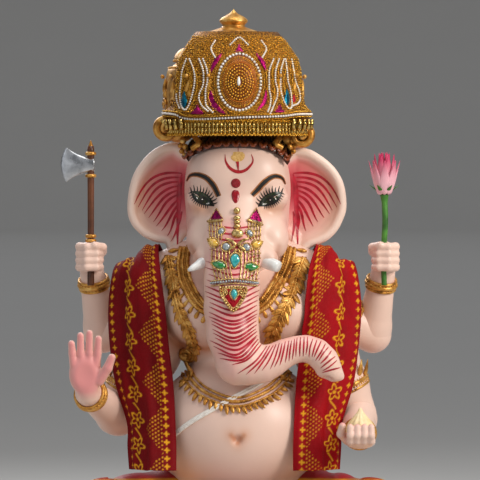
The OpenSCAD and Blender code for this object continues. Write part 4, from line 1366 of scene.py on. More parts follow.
def dhoti_and_feet():
    """A pleated waist cloth over crossed legs, with crimson bands at its hems and waist, and bare feet at the
    middle.
    """
    clay = Clay((-214, -152, -6), (214, 92, 112), 2.2)
    clay.egg((0, 4, 50), (115, 80, 50), 12)
    legs = []
    for s in (-1, 1):
        chain = [(s * 62, 0, 48, 49), (s * 168, -62, 40, 39), (s * 168, -66, 36, 35),
                 (s * 40, -108, 25, 22.5)]
        legs.append([V(s * 40, 20, 48), V(s * 168, -50, 40), V(s * 168, -70, 36), V(s * 40, -108, 25)])
        clay.limb(chain, 10)
    verts, faces = clay.skin()
    normals = normals_of(verts, faces)
    ripple, hem = np.zeros(len(verts)), np.zeros(len(verts))
    for leg in legs:
        own = np.sign(leg[1][0]) * verts[:, 0] > 0
        _, at = near_path(verts, leg)
        fold = np.sin(at * 62 + verts[:, 2] * 0.06 + 0.9 * np.sin(verts[:, 0] * 0.05))
        ripple += own * (np.sign(fold) * np.abs(fold) ** 0.7) * 1.5
        hem = np.maximum(hem, own * np.clip((at - 0.955) / 0.01, 0, 1) * (verts[:, 1] < -70))
    verts = verts + normals * ripple[:, None]
    coat = Paint(verts, srgb("e2a21c"))
    # The hollows of the pleats are painted a darker orange: painted shade.
    coat.coat(srgb("b86f0c"), 0.75 * np.clip(-ripple / 1.6, 0, 1))
    coat.coat(CRIMSON, hem)
    waist = np.clip((verts[:, 2] - 80) / 2, 0, 1)
    coat.coat(CRIMSON, waist)
    build("dhoti_cloth", verts, faces, DHOTI, colours=coat.rgb)
    for s, rise in ((1, 4.0), (-1, -3.0)):
        clay = Clay((-64, -152, -4), (64, -84, 50), 1.5)
        clay.limb([(s * 46, -107, 26, 17), (s * 30, -112, 22 + rise, 18), (-s * 10, -125, 16 + rise, 12.5)],
                  5)
        for k in range(5):
            start = V(-s * 10, -125, 16 + rise) + (k - 2) * V(s * 1.2, -4.6, 1.0)
            finger(clay, [start, start + V(-s * (17 - 1.7 * abs(k - 1)), -1.5, -1.5)], 4.6, 3.5)
        verts, faces = clay.skin()
        coat = Paint(verts, SKIN)
        coat.coat(ROSE, 0.5 * np.clip((-s * verts[:, 0] - 8) / 14, 0, 1))
        build("left_foot" if s > 0 else "right_foot", verts, faces, ENAMEL, colours=coat.rgb)


dhoti_and_feet()


# ---------------------------------------------------------------- gold relief on the body
def leaf_row(heap, path, size, pitch, angle, lift=1.0):
    """Leaves set along a path on the body; angle is how far each turns from the path, in degrees."""
    count = int(path_length(spline(path, 40)) / pitch)
    points, normals = lay(BODY, path, count + 1, lift)
    along = np.gradient(points, axis=0)
    turn = math.radians(angle)
    for k in range(count + 1):
        n = normals[k]
        a = unit(along[k] - (along[k] @ n) * n)
        b = np.cross(n, a)
        way = unit(math.cos(turn) * a + math.sin(turn) * b + 0.12 * n)
        side = np.cross(n, way)
        length, wide = size
        grow = 0.85 + 0.15 * math.cos(k * 2.1)
        lump(heap, points[k] + way * length * 0.5 * grow, [way, side, n],
             (length * 0.56 * grow, wide * 0.66, 3.2), 0.6, 4)
        vein = np.linspace(0.05, 0.85, 5)[:, None] * length * grow * way + points[k] + n * 2.2
        tube(heap, vein, [1.1, 1.0, 0.9, 0.7, 0.4], up=n, sides=6)


def rope(heap, path, radius, lift, twist=6.0, pitch=2.0):
    """A twisted cord laid on the body."""
    count = max(6, int(path_length(spline(path, 40)) / pitch))
    points, normals = lay(BODY, path, count, lift)
    for phase in (0, math.pi):
        walk = np.arange(count) * pitch / twist * TAU + phase
        side = np.cross(np.gradient(points, axis=0), normals)
        side /= np.linalg.norm(side, axis=1)[:, None] + 1e-9
        offset = radius * 0.45 * (np.cos(walk)[:, None] * side + np.sin(walk)[:, None] * normals)
        tube(heap, points + offset, radius * 0.72, up=normals, sides=6)


def collar():
    heap = Heap()
    left = [(-60, 372), (-63, 350), (-58, 327), (-43, 303), (-26, 291)]
    right = [(60, 372), (56, 350), (44, 326), (28, 303), (10, 291)]
    for side, path in ((-1, left), (1, right)):
        stroke(heap, BODY, [(x + side * 6, z - 2) for x, z in path], [15, 16, 15], 0.9, 3.0, 5)
        for shift, radius in ((0, 2.6), (6.2, 1.9), (11.6, 2.8)):
            rope(heap, [(x + side * shift, z - shift * 0.35) for x, z in path], radius, 1.4)
        outer = [(x + side * 14.5, z - 5.5) for x, z in path]
        points, normals = lay(BODY, outer, 11, 1.2)
        middle = V(-3, 0, 372)
        for p, n in zip(points, normals):
            way = unit((p - middle) * V(1, 0, 1) - ((p - middle) @ n) * n * 0.5)
            lump(heap, p + way * 4.5, [-way, np.cross(n, way), n], (7.2, 4.6, 3.4), 0.7, 4)
            beads(heap, p + way * 11.6, 1.5)
        bead_path, _ = lay(BODY, [(x + side * 3.1, z - 1.2) for x, z in path], 40, 2.2)
        beads(heap, evenly(bead_path, 3.0), 1.15)
    build_heap("collar_necklace_relief", heap, GOLD_PAINT, replaces=("collar_necklace",))


def garlands():
    heap = Heap()
    left = [(-87, 358), (-81, 325), (-72, 292), (-61, 268), (-54, 245), (-55, 236)]
    right = [(82, 356), (75, 332), (66, 308), (54, 286), (43, 262), (45, 244)]
    for path, sign, big in ((left, 1, (16, 7.6)), (right, -1, (20, 9))):
        rope(heap, path, 2.2, 3.2)
        stroke(heap, BODY, path, [9, 12, 12, 10], 1.0, 3.0)
        leaf_row(heap, path, big, 7.2, -sign * 42)
        leaf_row(heap, path, (big[0] * 0.85, big[1]), 7.2, sign * 40)
        for shift in (-3.4, 3.4):
            points, normals = lay(BODY, [(x + shift, z) for x, z in path], 60, 2.6)
            tube(heap, points, 1.3, up=normals, sides=6)
    build_heap("leaf_garland_relief", heap, GOLD_PAINT, replaces=("leaf_garland",))
    clasps = Heap()
    for x in (-63, 52):
        t = np.linspace(0, 1, 50)
        a = t * 2.1 * TAU * (1 if x > 0 else -1) + 1.2
        r = 10.6 * (1 - t) + 1.2
        path = [onto(BODY, x + rr * math.cos(aa), 236 + rr * math.sin(aa), 2.6 + 2.5 * tt)[0]
                for rr, aa, tt in zip(r, a, t)]
        tube(clasps, path, np.interp(t, [0, 1], [2.5, 1.9]), sides=8)
        p, n = onto(BODY, x, 236, 0.0)
        lump(clasps, p, [n, V(1, 0, 0), V(0, 0, 1)], (3.2, 11, 11), 0, 4)
    build_heap("garland_scroll_clasps", clasps, GOLD_PAINT, replaces=("garland_clasps",))


def festoon():
    heap = Heap()
    path = [(-69, 226), (-62, 210), (-45, 193), (-20, 182), (-2, 179), (16, 182), (42, 194), (58, 209),
            (65, 222)]
    for shift, radius in ((-5.4, 1.7), (0, 2.3), (5.0, 1.7)):
        rope(heap, [(x * (1 - shift / 90), z + shift) for x, z in path], radius, 1.8)
    leaf_row(heap, [(x * 1.06, z - 6) for x, z in path], (12, 6), 6.4, -70)
    build_heap("lower_festoon_relief", heap, GOLD_PAINT, replaces=("lower_festoon",))
    thread = Heap()
    line = [(90, 262), (60, 226), (31, 203), (-12, 180), (-60, 152), (-94, 122)]
    for shift in (-1.6, 1.6):
        points, normals = lay(BODY, [(x, z + shift) for x, z in line], 70, 1.3)
        tube(thread, points, 1.9, up=normals, sides=8)
    build_heap("sacred_thread_relief", thread, COTTON, replaces=("sacred_thread",))


def cuff(heap, centre, along, radius, width):
    """A ring of raised bands and beads round a limb."""
    axis = unit(V(*along))
    side = unit(np.cross(axis, V(0.31, 0.22, 0.93)))
    other = np.cross(axis, side)
    a = np.linspace(0, TAU, 57)
    hoop = np.cos(a)[:, None] * side + np.sin(a)[:, None] * other
    centre = V(*centre)
    for offset, thick in ((-0.42, 1.9), (0.42, 1.9), (0, 3.2)):
        tube(heap, centre + axis * offset * width + (radius + 0.6) * hoop, thick, up=axis, sides=8)
    rows = [(centre + axis * offset * width + (radius + 0.8) * hoop) for offset in (-0.45, 0.45)]
    heap.put(np.array(rows).reshape(-1, 3), lattice(2, 57))
    for offset in (-0.21, 0.21):
        beads(heap, evenly(centre + axis * offset * width + (radius + 1.4) * hoop, 4.2), 1.6)


def arm_jewellery():
    armlet, bangle, anklet = Heap(), Heap(), Heap()
    for s in (-1, 1):
        cuff(armlet, (s * 133, 2, 194), (s * 18, 3, -38), 32, 17)
        for k in range(7):
            a = math.radians(-150 + 20 * k)
            spot = V(s * 133, 2, 194) + 34 * V(s * math.cos(a), math.sin(a), 0.35)
            out = unit(V(s * math.cos(a), math.sin(a), 0))
            lump(armlet, spot + V(0, 0, 13), [unit(V(0, 0, 1) + 0.2 * out), np.cross(out, V(0, 0, 1)), out],
                 (11, 5.4, 3), 0.8, 4)
        cuff(armlet, (s * 140, 41, 277), (s * 80, 18, -47), 27.5, 15)
        cuff(bangle, (s * 182, 21, 324), (s * 12, -32, 78), 17.6, 13)
        cuff(anklet, (s * 52, -105, 27), (-s * 138, -46, -12), 24.5, 11)
    cuff(bangle, (152, -84, 139.5), (2, -97, -17), 18, 13)
    cuff(bangle, (-183, -76, 187), (-36, -89, 35), 18.4, 13)
    build_heap("armlet_rings", armlet, GOLD_PAINT, replaces=("armlets",))
    build_heap("bangle_rings", bangle, GOLD_PAINT, replaces=("bangles",))
    build_heap("anklet_rings", anklet, GOLD_PAINT, replaces=("anklets",))


COTTON = finish("cotton_white", ["e6ddd2", "faf5ee"], rough=(0.5, 0.65), scale=300.0)
collar()
garlands()
festoon()
arm_jewellery()


# ---------------------------------------------------------------- shawl
SHAWL_STATIONS = [((69, -101, 94), (98, -105, 94), (128, -72, 94)),
                  ((69, -94, 122), (99, -94, 122), (130, -62, 122)),
                  ((70, -88, 150), (100, -82, 150), (131, -50, 150)),
                  ((73, -74, 200), (107, -66, 200), (146, -38, 200)),
                  ((79, -62, 250), (112, -58, 250), (153, -22, 250)),
                  ((84, -58, 300), (116, -54, 300), (155, -8, 300)),
                  ((90, -44, 345), (118, -38, 345), (149, 0, 344)),
                  ((99, -8, 374), (114, 4, 370), (142, 18, 346)),
                  ((86, 40, 354), (102, 52, 330), (122, 62, 296)),
                  ((50, 58, 350), (56, 70, 310), (62, 80, 262)), ((0, 62, 346), (0, 76, 302), (0, 84, 262))]


def shawl_pattern(u, v, width):
    """How much of the yellow print covers a spot: florets, dots in zigzags and rows of small flowers."""
    def flower(du, dv, size, lobes, turn=0.0):
        reach = np.hypot(du, dv)
        return size * (0.74 + 0.26 * np.cos(lobes * np.arctan2(dv, du) + turn)) - reach

    near_u = (u + 5.5) % 11 - 5.5
    best = flower(near_u, v - 12, 4.0, 4)
    best = np.maximum(best, flower(near_u, v - (width - 9), 3.6, 4))
    row = np.round((v - 18) / 3.8)
    du = (u + 2.7 * (row % 2) + 2.7) % 5.4 - 2.7
    zigzag = 18 + 24 * np.abs(((u / 62) % 1) * 2 - 1)
    dots = np.where((v > 16.4) & (v < zigzag), 1.05 - np.hypot(du, v - 18 - 3.8 * row), -9)
    best = np.maximum(best, dots)
    du = (u + 17) % 34 - 17
    floret = 1.5 - np.abs(flower(du, v - 56, 10.5, 5, 0.6))
    best = np.maximum(best, np.maximum(floret, 2.4 - np.hypot(du, v - 56)))
    stem = 1.3 - np.abs(v - 56 - 5 * np.sin(u * TAU / 34))
    best = np.maximum(best, np.where(np.abs(du) > 11.5, stem, -9))
    return np.clip(best / 0.8 + 0.5, 0, 1)


def shawl():
    """One long stole: from one hip over the shoulder, round behind the neck, and down to the other hip."""
    left = [tuple((-p[0] - (7 if p[2] < 366 and k < 7 else 0), p[1], p[2]) for p in row)
            for k, row in enumerate(SHAWL_STATIONS)]
    rows = np.array(SHAWL_STATIONS + left[-2::-1], dtype=np.float64)
    rows_fine, cols = 760, 72
    edges = [spline(rows[:, k], rows_fine) for k in range(3)]
    grid = np.array([spline([edges[0][i], edges[1][i], edges[2][i]], cols) for i in range(rows_fine)])
    span = np.linspace(0, 1, rows_fine)[:, None]
    across = np.linspace(0, 1, cols)[None]
    clear = 5.2  # how far the cloth is pushed out from the body before it is smoothed
    for _ in range(2):
        flat = grid.reshape(-1, 3)
        moved = flat.copy()
        for i, p in enumerate(flat):
            hit, normal, _, _ = BODY.find_nearest(Vector(p))
            away = np.array(p) - np.array(hit)
            side = away @ np.array(normal)
            if side < clear:
                moved[i] = np.array(hit) + np.array(normal) * clear
        grid = moved.reshape(grid.shape)
        for _ in range(6):
            around = grid[2:, 1:-1] + grid[:-2, 1:-1] + grid[1:-1, 2:] + grid[1:-1, :-2]
            grid[1:-1, 1:-1] = 0.5 * grid[1:-1, 1:-1] + 0.125 * around
    du, dv = np.gradient(grid, axis=0), np.gradient(grid, axis=1)
    normal = np.cross(dv, du)
    normal /= np.linalg.norm(normal, axis=2)[:, :, None] + 1e-9
    folds = 1.5 + 1.3 * np.sin(across * 17 + 1.2 * np.sin(span * 21)) + 0.7 * np.sin(across * 31 - span * 12)
    grid = grid + normal * (folds * np.clip(across * 9, 0.2, 1))[:, :, None]
    u = np.concatenate([[0], np.cumsum(np.linalg.norm(np.diff(grid[:, cols // 2], axis=0), axis=1))])[:, None]
    v = np.concatenate([np.zeros((rows_fine, 1)),
                        np.cumsum(np.linalg.norm(np.diff(grid, axis=1), axis=2), axis=1)], axis=1)
    motif = shawl_pattern(u, v, v[:, -1:])[:, :, None]
    # The half of the stole past the neck is painted darker: painted shade on the side away from the key
    # light. The red also brightens and darkens at the folds' own spacing: painted light and shade on the
    # folds.
    shade = 1 - 0.45 * step_up(span, 0.45, 0.62)[:, :, None]
    dye_with_painted_shade = srgb("a00410") * shade * (1 + 0.1 * np.sin(across * 17))[:, :, None]
    colours = dye_with_painted_shade * (1 - motif) + srgb("e6a11e") * motif
    back = grid - normal * 0.9
    both = np.concatenate([grid.reshape(-1, 3), back.reshape(-1, 3)])
    top = lattice(rows_fine, cols)
    under = top[:, ::-1] + rows_fine * cols
    index = np.arange(rows_fine * cols).reshape(rows_fine, cols)
    border = np.concatenate([index[0], index[1:, -1], index[-1, -2::-1], index[-2:0:-1, 0], index[:1, 0]])
    rim = np.stack([border[:-1], border[:-1] + rows_fine * cols, border[1:] + rows_fine * cols, border[1:]],
                   axis=1)
    # The underside of the cloth is painted darker than its face: painted shade.
    colours = np.concatenate([colours.reshape(-1, 3), 0.8 * dye_with_painted_shade.reshape(-1, 3)])
    cloth = build("printed_shawl", both, np.concatenate([top, under, rim]), CLOTH, replaces=("shawl",),
                  colours=colours)


def cotton_print():
    n = Nodes("shawl_cloth")
    layer = n.make("ShaderNodeAttribute", attribute_name="paint")
    cloud = n.noise(30.0, 4.0)
    tone = n.ramp(cloud, [(0.3, (0.7, 0.7, 0.7)), (0.7, (0.95, 0.95, 0.95))])
    n.link(n.mix(1.0, layer.outputs["Color"], tone, "MULTIPLY"), n.shader.inputs["Base Color"])
    n.link(n.span(n.noise(500.0), 0.6, 0.85), n.shader.inputs["Roughness"])
    n.bump(n.noise(1500.0, 2.0), 0.25, 0.0004)
    n.set(Specular_IOR_Level=0.15)
    return n.material


CLOTH = cotton_print()
shawl()


# ---------------------------------------------------------------- jewel on the trunk
JEWEL_GOLD = finish("jewel_gold", ["8a6630", "d2ae6a", "efd9a4"], metallic=0.85, rough=(0.2, 0.35),
                    scale=300.0)
STONE_CLEAR = finish("stone_clear", ["56636a", "b4bfc2"], rough=(0.03, 0.1), scale=500.0, IOR=1.9,
                     Coat_Weight=1.0)
STONE_GREEN = finish("stone_green", ["00521c", "0a9a3c"], rough=(0.04, 0.1), scale=260.0, IOR=1.8,
                     Coat_Weight=1.0)
STONE_BLUE = finish("stone_turquoise", ["0a7f86", "3cc3c0"], rough=(0.05, 0.15), scale=260.0, IOR=1.7,
                    Coat_Weight=1.0)
STONE_YELLOW = finish("stone_yellow", ["c88708", "f6cc4c"], rough=(0.05, 0.12), scale=260.0, IOR=1.8,
                      Coat_Weight=1.0)


def cut_stone(heap, rim, x, z, size, turn=0.0, lift=2.2, point=0.0, surface=None):
    """A faceted stone in a ring of grains: size is half its length and half its width, turn is in degrees."""
    p, n = (surface or (lambda a, b, h: onto(HEAD, a, b, h)))(x, z, lift)
    n = unit(n + V(0, -1.6, 0))
    a = math.radians(turn)
    way = V(math.cos(a), 0, math.sin(a))
    way = unit(way - (way @ n) * n)
    side = np.cross(n, way)
    count = 12
    rows = []
    for share, high in ((1.0, 0.0), (0.96, 0.9), (0.55, 2.0), (0.02, 2.1)):
        ring = []
        for k in range(count):
            t = k * TAU / count
            along, wide = math.cos(t), math.sin(t) * (1 - point * max(math.cos(t), 0))
            ring.append(p + share * (size[0] * along * way + size[1] * wide * side) + high * n)
        rows.append(ring)
    heap.put(np.array(rows).reshape(-1, 3), lattice(4, count, closed=True))
    t = np.linspace(0, TAU, 60)
    wide = np.sin(t) * (1 - point * np.maximum(np.cos(t), 0))
    loop = p + ((size[0] + 1.3) * np.cos(t))[:, None] * way + ((size[1] + 1.3) * wide)[:, None] * side
    beads(rim, evenly(loop, 1.9)[:-1], 1.15)


def trunk_jewel():
    net, stem, bar, clear = Heap(), Heap(), Heap(), Heap()
    magenta, green, yellow, blue = Heap(), Heap(), Heap(), Heap()

    def on(x, z, lift=1.4):
        return onto(HEAD, x, z, lift)[0]

    def strand(heap, path, radius=0.85, lift=1.4, pitch=1.8):
        beads(heap, evenly(np.array([on(x, z, lift) for x, z in spline(path, 40)]), pitch), radius)

    def cord(path):
        points, normals = lay(HEAD, path, 12, 1.3)
        tube(net, points, 0.85, up=normals, sides=6)

    # Upright cords under each bar, slanting ones below them, and the two gold bars.
    for low, high in ((-34.5, -19), (13.5, 29.5)):
        for x in np.arange(low, high, 3.6):
            cord([(x, 403), (x * 0.985, 392), (x * 0.96, 380)])
    for k in range(6):
        x = 5 + 4.2 * k
        cord([(x, 370), (x - 0.5, 350), (x - 2.5 - 0.3 * k, 331)])
        cord([(-x - 5, 370), (-x - 4.5, 350), (-x - 1.5 + 0.3 * k, 331)])
    for z in (398, 392, 386, 364, 358):
        cord([(15, z - 0.8), (28, z)])
    tube(bar, lay(HEAD, [(-36, 403), (-17.8, 404.4)], 14, 2.0)[0], 1.7)
    tube(bar, lay(HEAD, [(11.5, 405), (29.8, 399)], 14, 2.0)[0], 1.7)
    strand(clear, [(-31, 327), (-18, 328.5), (-4, 330), (10, 328.5), (23, 327)], 1.6, 2.8, 3.6)
    for shift in (-2.9, 2.9):
        strand(bar, [(-31, 326.5 + shift), (-4, 329.8 + shift), (23, 326.5 + shift)], 1.0, 2.0)
    # The stem of gold lumps down the middle.
    beads(stem, on(-1, 415.5, 3.2), 4.4, 4)
    for z, wide in ((407, 4.6), (401.5, 4.2), (396, 4.8)):
        lump(stem, on(-0.8, z, 2.6), [V(1, 0, 0), V(0, 0, 1), V(0, -1, 0)], (wide, 3.2, 3.4), 0, 4)
    lump(stem, on(-0.4, 387.5, 2.4), [V(1, 0, 0), V(0, 0, 1), V(0, -1, 0)], (7.6, 6.2, 5), 0, 8)
    for s in (-1, 1):
        for x, z, turn, size in ((4, 377, 50, 6), (9, 380, 20, 5.5), (6, 370, -30, 5.5), (3, 364, -70, 6)):
            a = math.radians(turn)
            way = V(s * math.cos(a), 0, math.sin(a))
            lump(stem, on(-1 + s * x, z, 2.8), [way, np.cross(V(0, -1, 0), way), V(0, -1, 0)],
                 (size, 2.8, 2.4), 0.6, 4)
    # Foil triangles above the bars, each edged with grains.
    for apex, left, right in (((-25.5, 419), (-33.5, 405.5), (-18, 406.5)),
                              ((22.5, 419.5), (14.2, 407), (29.8, 402))):
        fill_patch(magenta, HEAD, [left, right, apex], 1.4, 4)
        strand(bar, [left, apex], 0.8, 1.8)
        strand(bar, [apex, right], 0.8, 1.8)
    for x, z, size, turn in ((-19.7, 390.3, (4.4, 3.3), 60), (14.2, 387.9, (4.4, 3.3), 120),
                             (-13.8, 371.9, (4.8, 4.6), 0), (10.2, 371, (4.6, 4.4), 0)):
        cut_stone(clear, bar, x, z, size, turn)
    for x, z, turn in ((-28.5, 377, 150), (22, 374.5, 25)):
        cut_stone(yellow, bar, x, z, (7.0, 4.6), turn, 3.0, 0.6)
    cut_stone(blue, bar, -3.5, 354, (8.6, 6.0), -96, 3.4, 0.55)
    for x, z, turn in ((-22, 349, 164), (15.5, 346.5, 0)):
        cut_stone(green, bar, x, z, (9.0, 4.8), turn, 3.0, 0.5)
    build_heap("jewel_cord_net", net, JEWEL_GOLD, body="trunk_jewel", replaces=("jewel_net",))
    build_heap("jewel_gold_stem", stem, JEWEL_GOLD, body="trunk_jewel", replaces=("jewel_stem",))
    build_heap("jewel_bars_and_edges", bar, JEWEL_GOLD, body="trunk_jewel", replaces=("jewel_bar",))
    build_heap("jewel_clear_stones", clear, STONE_CLEAR, body="trunk_jewel", replaces=("jewel_stones",),
               smooth=False)
    build_heap("jewel_blue_stone", blue, STONE_BLUE, body="trunk_jewel", replaces=("jewel_drops",),
               smooth=False)
    build_heap("jewel_green_stones", green, STONE_GREEN, body="trunk_jewel", smooth=False)
    build_heap("jewel_yellow_stones", yellow, STONE_YELLOW, body="trunk_jewel", smooth=False)
    build_heap("jewel_magenta_foils", magenta, MAGENTA_FOIL, body="trunk_jewel")


def pendant():
    """A shield of red foil in a gold rope edge; it leans back with the trunk under it."""
    lean = math.radians(17.5)
    top = V(-5.5, -120.8, 320.4)
    down = V(0, -math.sin(lean), -math.cos(lean))
    out = V(0, -math.cos(lean), math.sin(lean))

    def at(x, z, lift=0.0):
        return top + V(x, 0, 0) + down * -z + out * (1.6 + lift)

    outline = spline([(-16, 1), (0, 2), (16, 1), (15, -8), (9, -20), (0.5, -29), (-8, -20), (-15, -8),
                      (-16, 1)], 80)[:-1]
    gold, face, blue = Heap(), Heap(), Heap()
    for share, radius in ((1.0, 1.9), (0.82, 1.1)):
        loop = np.array([at(x * share, (z + 9) * share - 9, 0.8) for x, z in outline])
        beads(gold, evenly(np.vstack([loop, loop[:1]]), radius * 1.9)[:-1], radius)
    rows = [[at(x * r, (z + 9) * r - 9, 0.6 + 1.2 * (1 - r)) for x, z in outline]
            for r in (1.0, 0.8, 0.6, 0.4, 0.2, 0.01)]
    face.put(np.array(rows).reshape(-1, 3), lattice(6, 79, closed=True))
    back = [[at(x * r, (z + 9) * r - 9, -2.6 + 3.2 * (r > 0.99)) for x, z in outline]
            for r in (1.0, 0.99, 0.01)]
    gold.put(np.array(back).reshape(-1, 3), lattice(3, 79, closed=True)[:, ::-1])
    for s in (-1, 1):
        cut_stone(gold, gold, 0, 0, (2.6, 1.4), -90 + s * 22, 0, 0.6,
                  lambda a, b, h, s=s: (at(s * 10, -6, 1.0), out))
    cut_stone(blue, gold, 0, 0, (6.6, 4.0), -90, 0, 0.6, lambda a, b, h: (at(1.2, -8, 1.8), out))
    build_heap("pendant_gold_edge", gold, JEWEL_GOLD, body="pendant", replaces=("pendant_plate",))
    build_heap("pendant_red_face", face, RED_FOIL, body="pendant")
    build_heap("pendant_blue_stone", blue, STONE_BLUE, body="pendant", replaces=("pendant_drop",),
               smooth=False)


trunk_jewel()
pendant()


# ---------------------------------------------------------------- what the hands hold
WOOD = finish("turned_wood", ["3c1c0a", "6e3a16"], rough=(0.3, 0.45), scale=40.0, bump=(0.25, 0.0006))
SILVER = finish("silver_paint", ["8f9296", "d8dade"], metallic=0.8, rough=(0.22, 0.4), scale=70.0,
                bump=(0.15, 0.0005))
LEAF_GREEN = finish("leaf_green", ["1e4a16", "4a8a2c"], rough=(0.35, 0.5), scale=60.0)
PETAL = painted("petal_enamel", rough=(0.35, 0.5))
SWEET = finish("steamed_dough", ["e8c78c", "f7e6bf"], rough=(0.45, 0.6), scale=90.0, bump=(0.2, 0.0006))


def turned(heap, base, line, sides=32, ripple=0.0, lobes=12):
    """A body of revolution about an upright line: line is (radius, height) pairs; ripple pleats it."""
    a = np.arange(sides) * TAU / sides
    rows = []
    for r, z in spline(line, 40):
        ring = r * (1 + ripple * np.cos(lobes * a))
        rows.append(np.stack([ring * np.cos(a), ring * np.sin(a), np.full(sides, z)], axis=1) + V(*base))
    heap.put(np.array(rows).reshape(-1, 3), lattice(40, sides, closed=True))


def axe():
    shaft, blade, trim = Heap(), Heap(), Heap()
    turned(shaft, (-185, -8, 0),
           [(0.1, 322), (3.8, 322.4), (4.4, 326), (4.0, 380), (4.1, 440), (4.4, 492), (3.0, 497), (0.1, 498)])
    rows = []
    for t in np.linspace(0, 1, 16):
        half = 8.5 + 13.5 * t**1.7
        thick = 5.6 * (1 - t) ** 0.8 + 0.35
        ring = []
        for k in range(28):
            a = k * TAU / 28
            v = math.copysign(abs(math.sin(a)) ** 0.6, math.sin(a))
            ring.append(V(-185 + 5 - 43 * t + 7 * t * t * v * v, -8 + thick * math.cos(a), 474 + half * v))
        rows.append(ring)
    middle = [[sum(rows[0]) / 28] * 28] + rows + [[p * V(1, 0, 1) + V(0, -8, 0) for p in rows[-1]]]
    blade.put(np.array(middle).reshape(-1, 3), lattice(len(middle), 28, closed=True))
    for z in (378.3, 384, 460, 488):
        turned(trim, (-185, -8, z), [(4.2, -2.4), (6.4, -1.8), (7.0, 0), (6.4, 1.8), (4.2, 2.4)])
    lump(trim, V(-185, -8, 499), [V(0, 0, 1), V(1, 0, 0), V(0, -1, 0)], (6, 4.4, 4.4), 0.8, 4)
    build_heap("axe_turned_shaft", shaft, WOOD, body="axe", replaces=("axe_shaft",))
    build_heap("axe_forged_blade", blade, SILVER, body="axe", replaces=("axe_blade",))
    build_heap("axe_gold_collars", trim, GOLD_PAINT, body="axe", replaces=("axe_collar",))


def petal_colours(heap, low, high, dark, pale):
    verts, _ = heap.arrays()
    share = step_up(verts[:, 2], low, high)[:, None]
    return srgb(pale) * (1 - share) + srgb(dark) * share


def lotus():
    stem, bud = Heap(), Heap()
    path = spline([(185, -8, 322), (184, -8, 360), (186, -9, 400), (185, -8, 438)], 40)
    tube(stem, path, np.interp(np.linspace(0, 1, 40), [0, 0.9, 1], [3.4, 3.8, 6.0]), sides=10)
    for k in range(6):
        a = k * TAU / 6
        out = V(math.cos(a), math.sin(a), 0)
        lump(stem, V(185, -8, 443) + out * 11,
             [unit(out + V(0, 0, 0.7)), np.cross(V(0, 0, 1), out), V(0, 0, 1)],
             (10, 5, 2.2), 0.8, 4)
    rings = ((8, 13.5, 458, 23, 10, 0.3), (8, 10.5, 463, 25, 10, 0.12), (6, 6.5, 465, 25, 9, 0.0),
             (4, 2.5, 466, 24, 7, -0.02))
    for ring, (count, r, z, tall, wide, lean) in enumerate(rings):
        for k in range(count):
            a = (k + 0.5 * (ring % 2)) * TAU / count
            out = V(math.cos(a), math.sin(a), 0)
            up = unit(V(0, 0, 1) + lean * out)
            lump(bud, V(185, -8, z) + out * r, [up, np.cross(up, out), out], (tall, wide, 3.6), 0.82, 4)
    build_heap("lotus_green_stem", stem, LEAF_GREEN, body="lotus", replaces=("lotus_stem",))
    build_heap("lotus_pink_bud", bud, PETAL, body="lotus", replaces=("lotus_bud",),
               colours=petal_colours(bud, 450, 486, "c8205c", "f3b9c4"))


def sweet():
    heap = Heap()
    turned(heap, (152, -127, 138),
           [(0.1, 0), (11, 0.2), (16, 4), (16.8, 10), (13.6, 18), (8, 25), (3.4, 31), (2.4, 34), (0.1, 36)],
           60, 0.055, 12)
    build_heap("pleated_sweet", heap, SWEET, body="sweet", replaces=("modak",))


axe()
lotus()
sweet()


# ---------------------------------------------------------------- pedestal
def stadium(inset, z, count=220):
    """A ring of points round the pedestal: two half circles joined by straight runs."""
    r = 160 - inset
    total = 280 + TAU * r
    ring = []
    for s in np.arange(count) * total / count:
        if s < 140:
            ring.append((-70 + s, -r, z))
        elif s < 140 + math.pi * r:
            a = (s - 140) / r
            ring.append((70 + r * math.sin(a), -r * math.cos(a), z))
        elif s < 280 + math.pi * r:
            ring.append((70 - (s - 140 - math.pi * r), r, z))
        else:
            a = (s - 280 - math.pi * r) / r
            ring.append((-70 - r * math.sin(a), r * math.cos(a), z))
    return ring


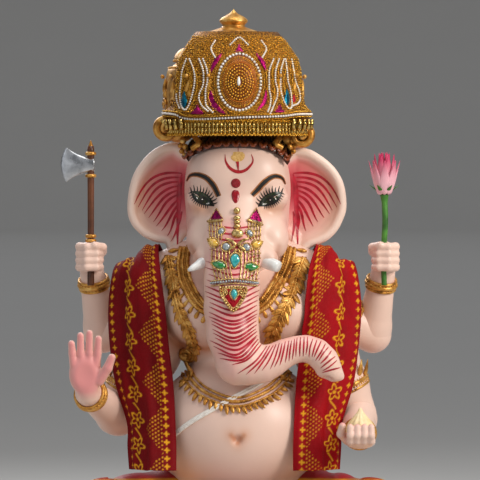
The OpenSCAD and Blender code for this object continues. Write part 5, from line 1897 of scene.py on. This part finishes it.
def pedestal():
    line = [(0.5, -70), (0, -69), (0, -59), (1.5, -57), (5, -56), (9, -53.5), (13, -50), (13, -17), (9, -14),
            (4, -12.5), (0.8, -11), (0, -9), (0, -3), (1.2, -0.8), (3, 0), (80, 0), (159, 0)]
    heap, trim = Heap(), Heap()
    rows = [stadium(159, -70)] + [stadium(inset, z) for inset, z in line]
    heap.put(np.array(rows).reshape(-1, 3), lattice(len(rows), 220, closed=True))
    verts, faces = heap.arrays()
    coat = Paint(verts, srgb("7c0d1c"))
    coat.coat(srgb("4c0710"), np.clip((verts[:, 2] > -56) * (verts[:, 2] < -13) * 1.0, 0, 1))
    build("moulded_pedestal", verts, faces, DHOTI, replaces=("pedestal",), colours=coat.rgb)
    for inset, z, radius, pitch in ((1.0, -62, 2.3, 5.4), (1.0, -7, 2.1, 5.0)):
        ring = np.array(stadium(inset, z, 900))
        beads(trim, evenly(np.vstack([ring, ring[:1]]), pitch)[:-1], radius, 3)
    for inset, z in ((0.4, -67), (0.8, -57.6), (0.4, -2.6), (0.6, -11.4)):
        tube(trim, np.array(stadium(inset, z, 220) + stadium(inset, z, 220)[:1]), 1.3, up=(0, 0, 1), sides=6)
    build_heap("pedestal_gold_mouldings", trim, GOLD_PAINT)
    petals, edges = Heap(), Heap()
    ring = np.array(stadium(9, -53, 72))
    tangent = np.roll(ring, -1, axis=0) - np.roll(ring, 1, axis=0)
    for k in range(72):
        side = unit(tangent[k])
        out = np.cross(side, V(0, 0, 1))
        front = k % 2 == 0
        up = unit(V(0, 0, 1) + (0.22 if front else 0.1) * out)
        base = ring[k] - out * (0 if front else 3.5)
        tall, wide = (35, 14.5) if front else (37, 12.5)
        t = np.linspace(0, 1, 12)
        half = wide * np.sin(np.pi * (0.16 + 0.84 * t) ** 0.9) ** 0.8
        belly = 3.4 * np.sin(np.pi * t)
        rows = []
        for j in range(12):
            u = np.linspace(-1, 1, 9)
            rows.append([base + up * tall * t[j] + side * half[j] * q
                         + out * (belly[j] * (1 - q * q) - 2.2 * q * q) for q in u])
        grid = np.array(rows)
        shell = np.concatenate([grid, grid[:, ::-1] - 1.6 * out], axis=1)
        petals.put(shell.reshape(-1, 3), lattice(12, 18, closed=True))
        if front:
            line = np.concatenate([grid[:, 0], grid[-1:, 4] + up * 1.0, grid[::-1, -1]])
            tube(edges, line + 0.5 * out, 1.0, up=out, sides=6)
    build_heap("pedestal_lotus_petals", petals, PETAL, replaces=("pedestal_petals",),
               colours=petal_colours(petals, -50, -18, "c22a5e", "f0a6b4"))
    build_heap("petal_gold_edges", edges, GOLD_PAINT)


pedestal()

# ---------------------------------------------------------------- hidden framework and the end
IRON = finish("rusted_iron", ["3a2a20", "5c4434"], metallic=0.6, rough=(0.5, 0.75), scale=50.0,
              bump=(0.3, 0.0006))
for node in ("core_post", "shoulder_bar"):
    for obj in bpy.data.objects:
        if obj.name.split(".")[0] == node and obj.type == "MESH":
            obj.data.materials.clear()
            obj.data.materials.append(IRON)
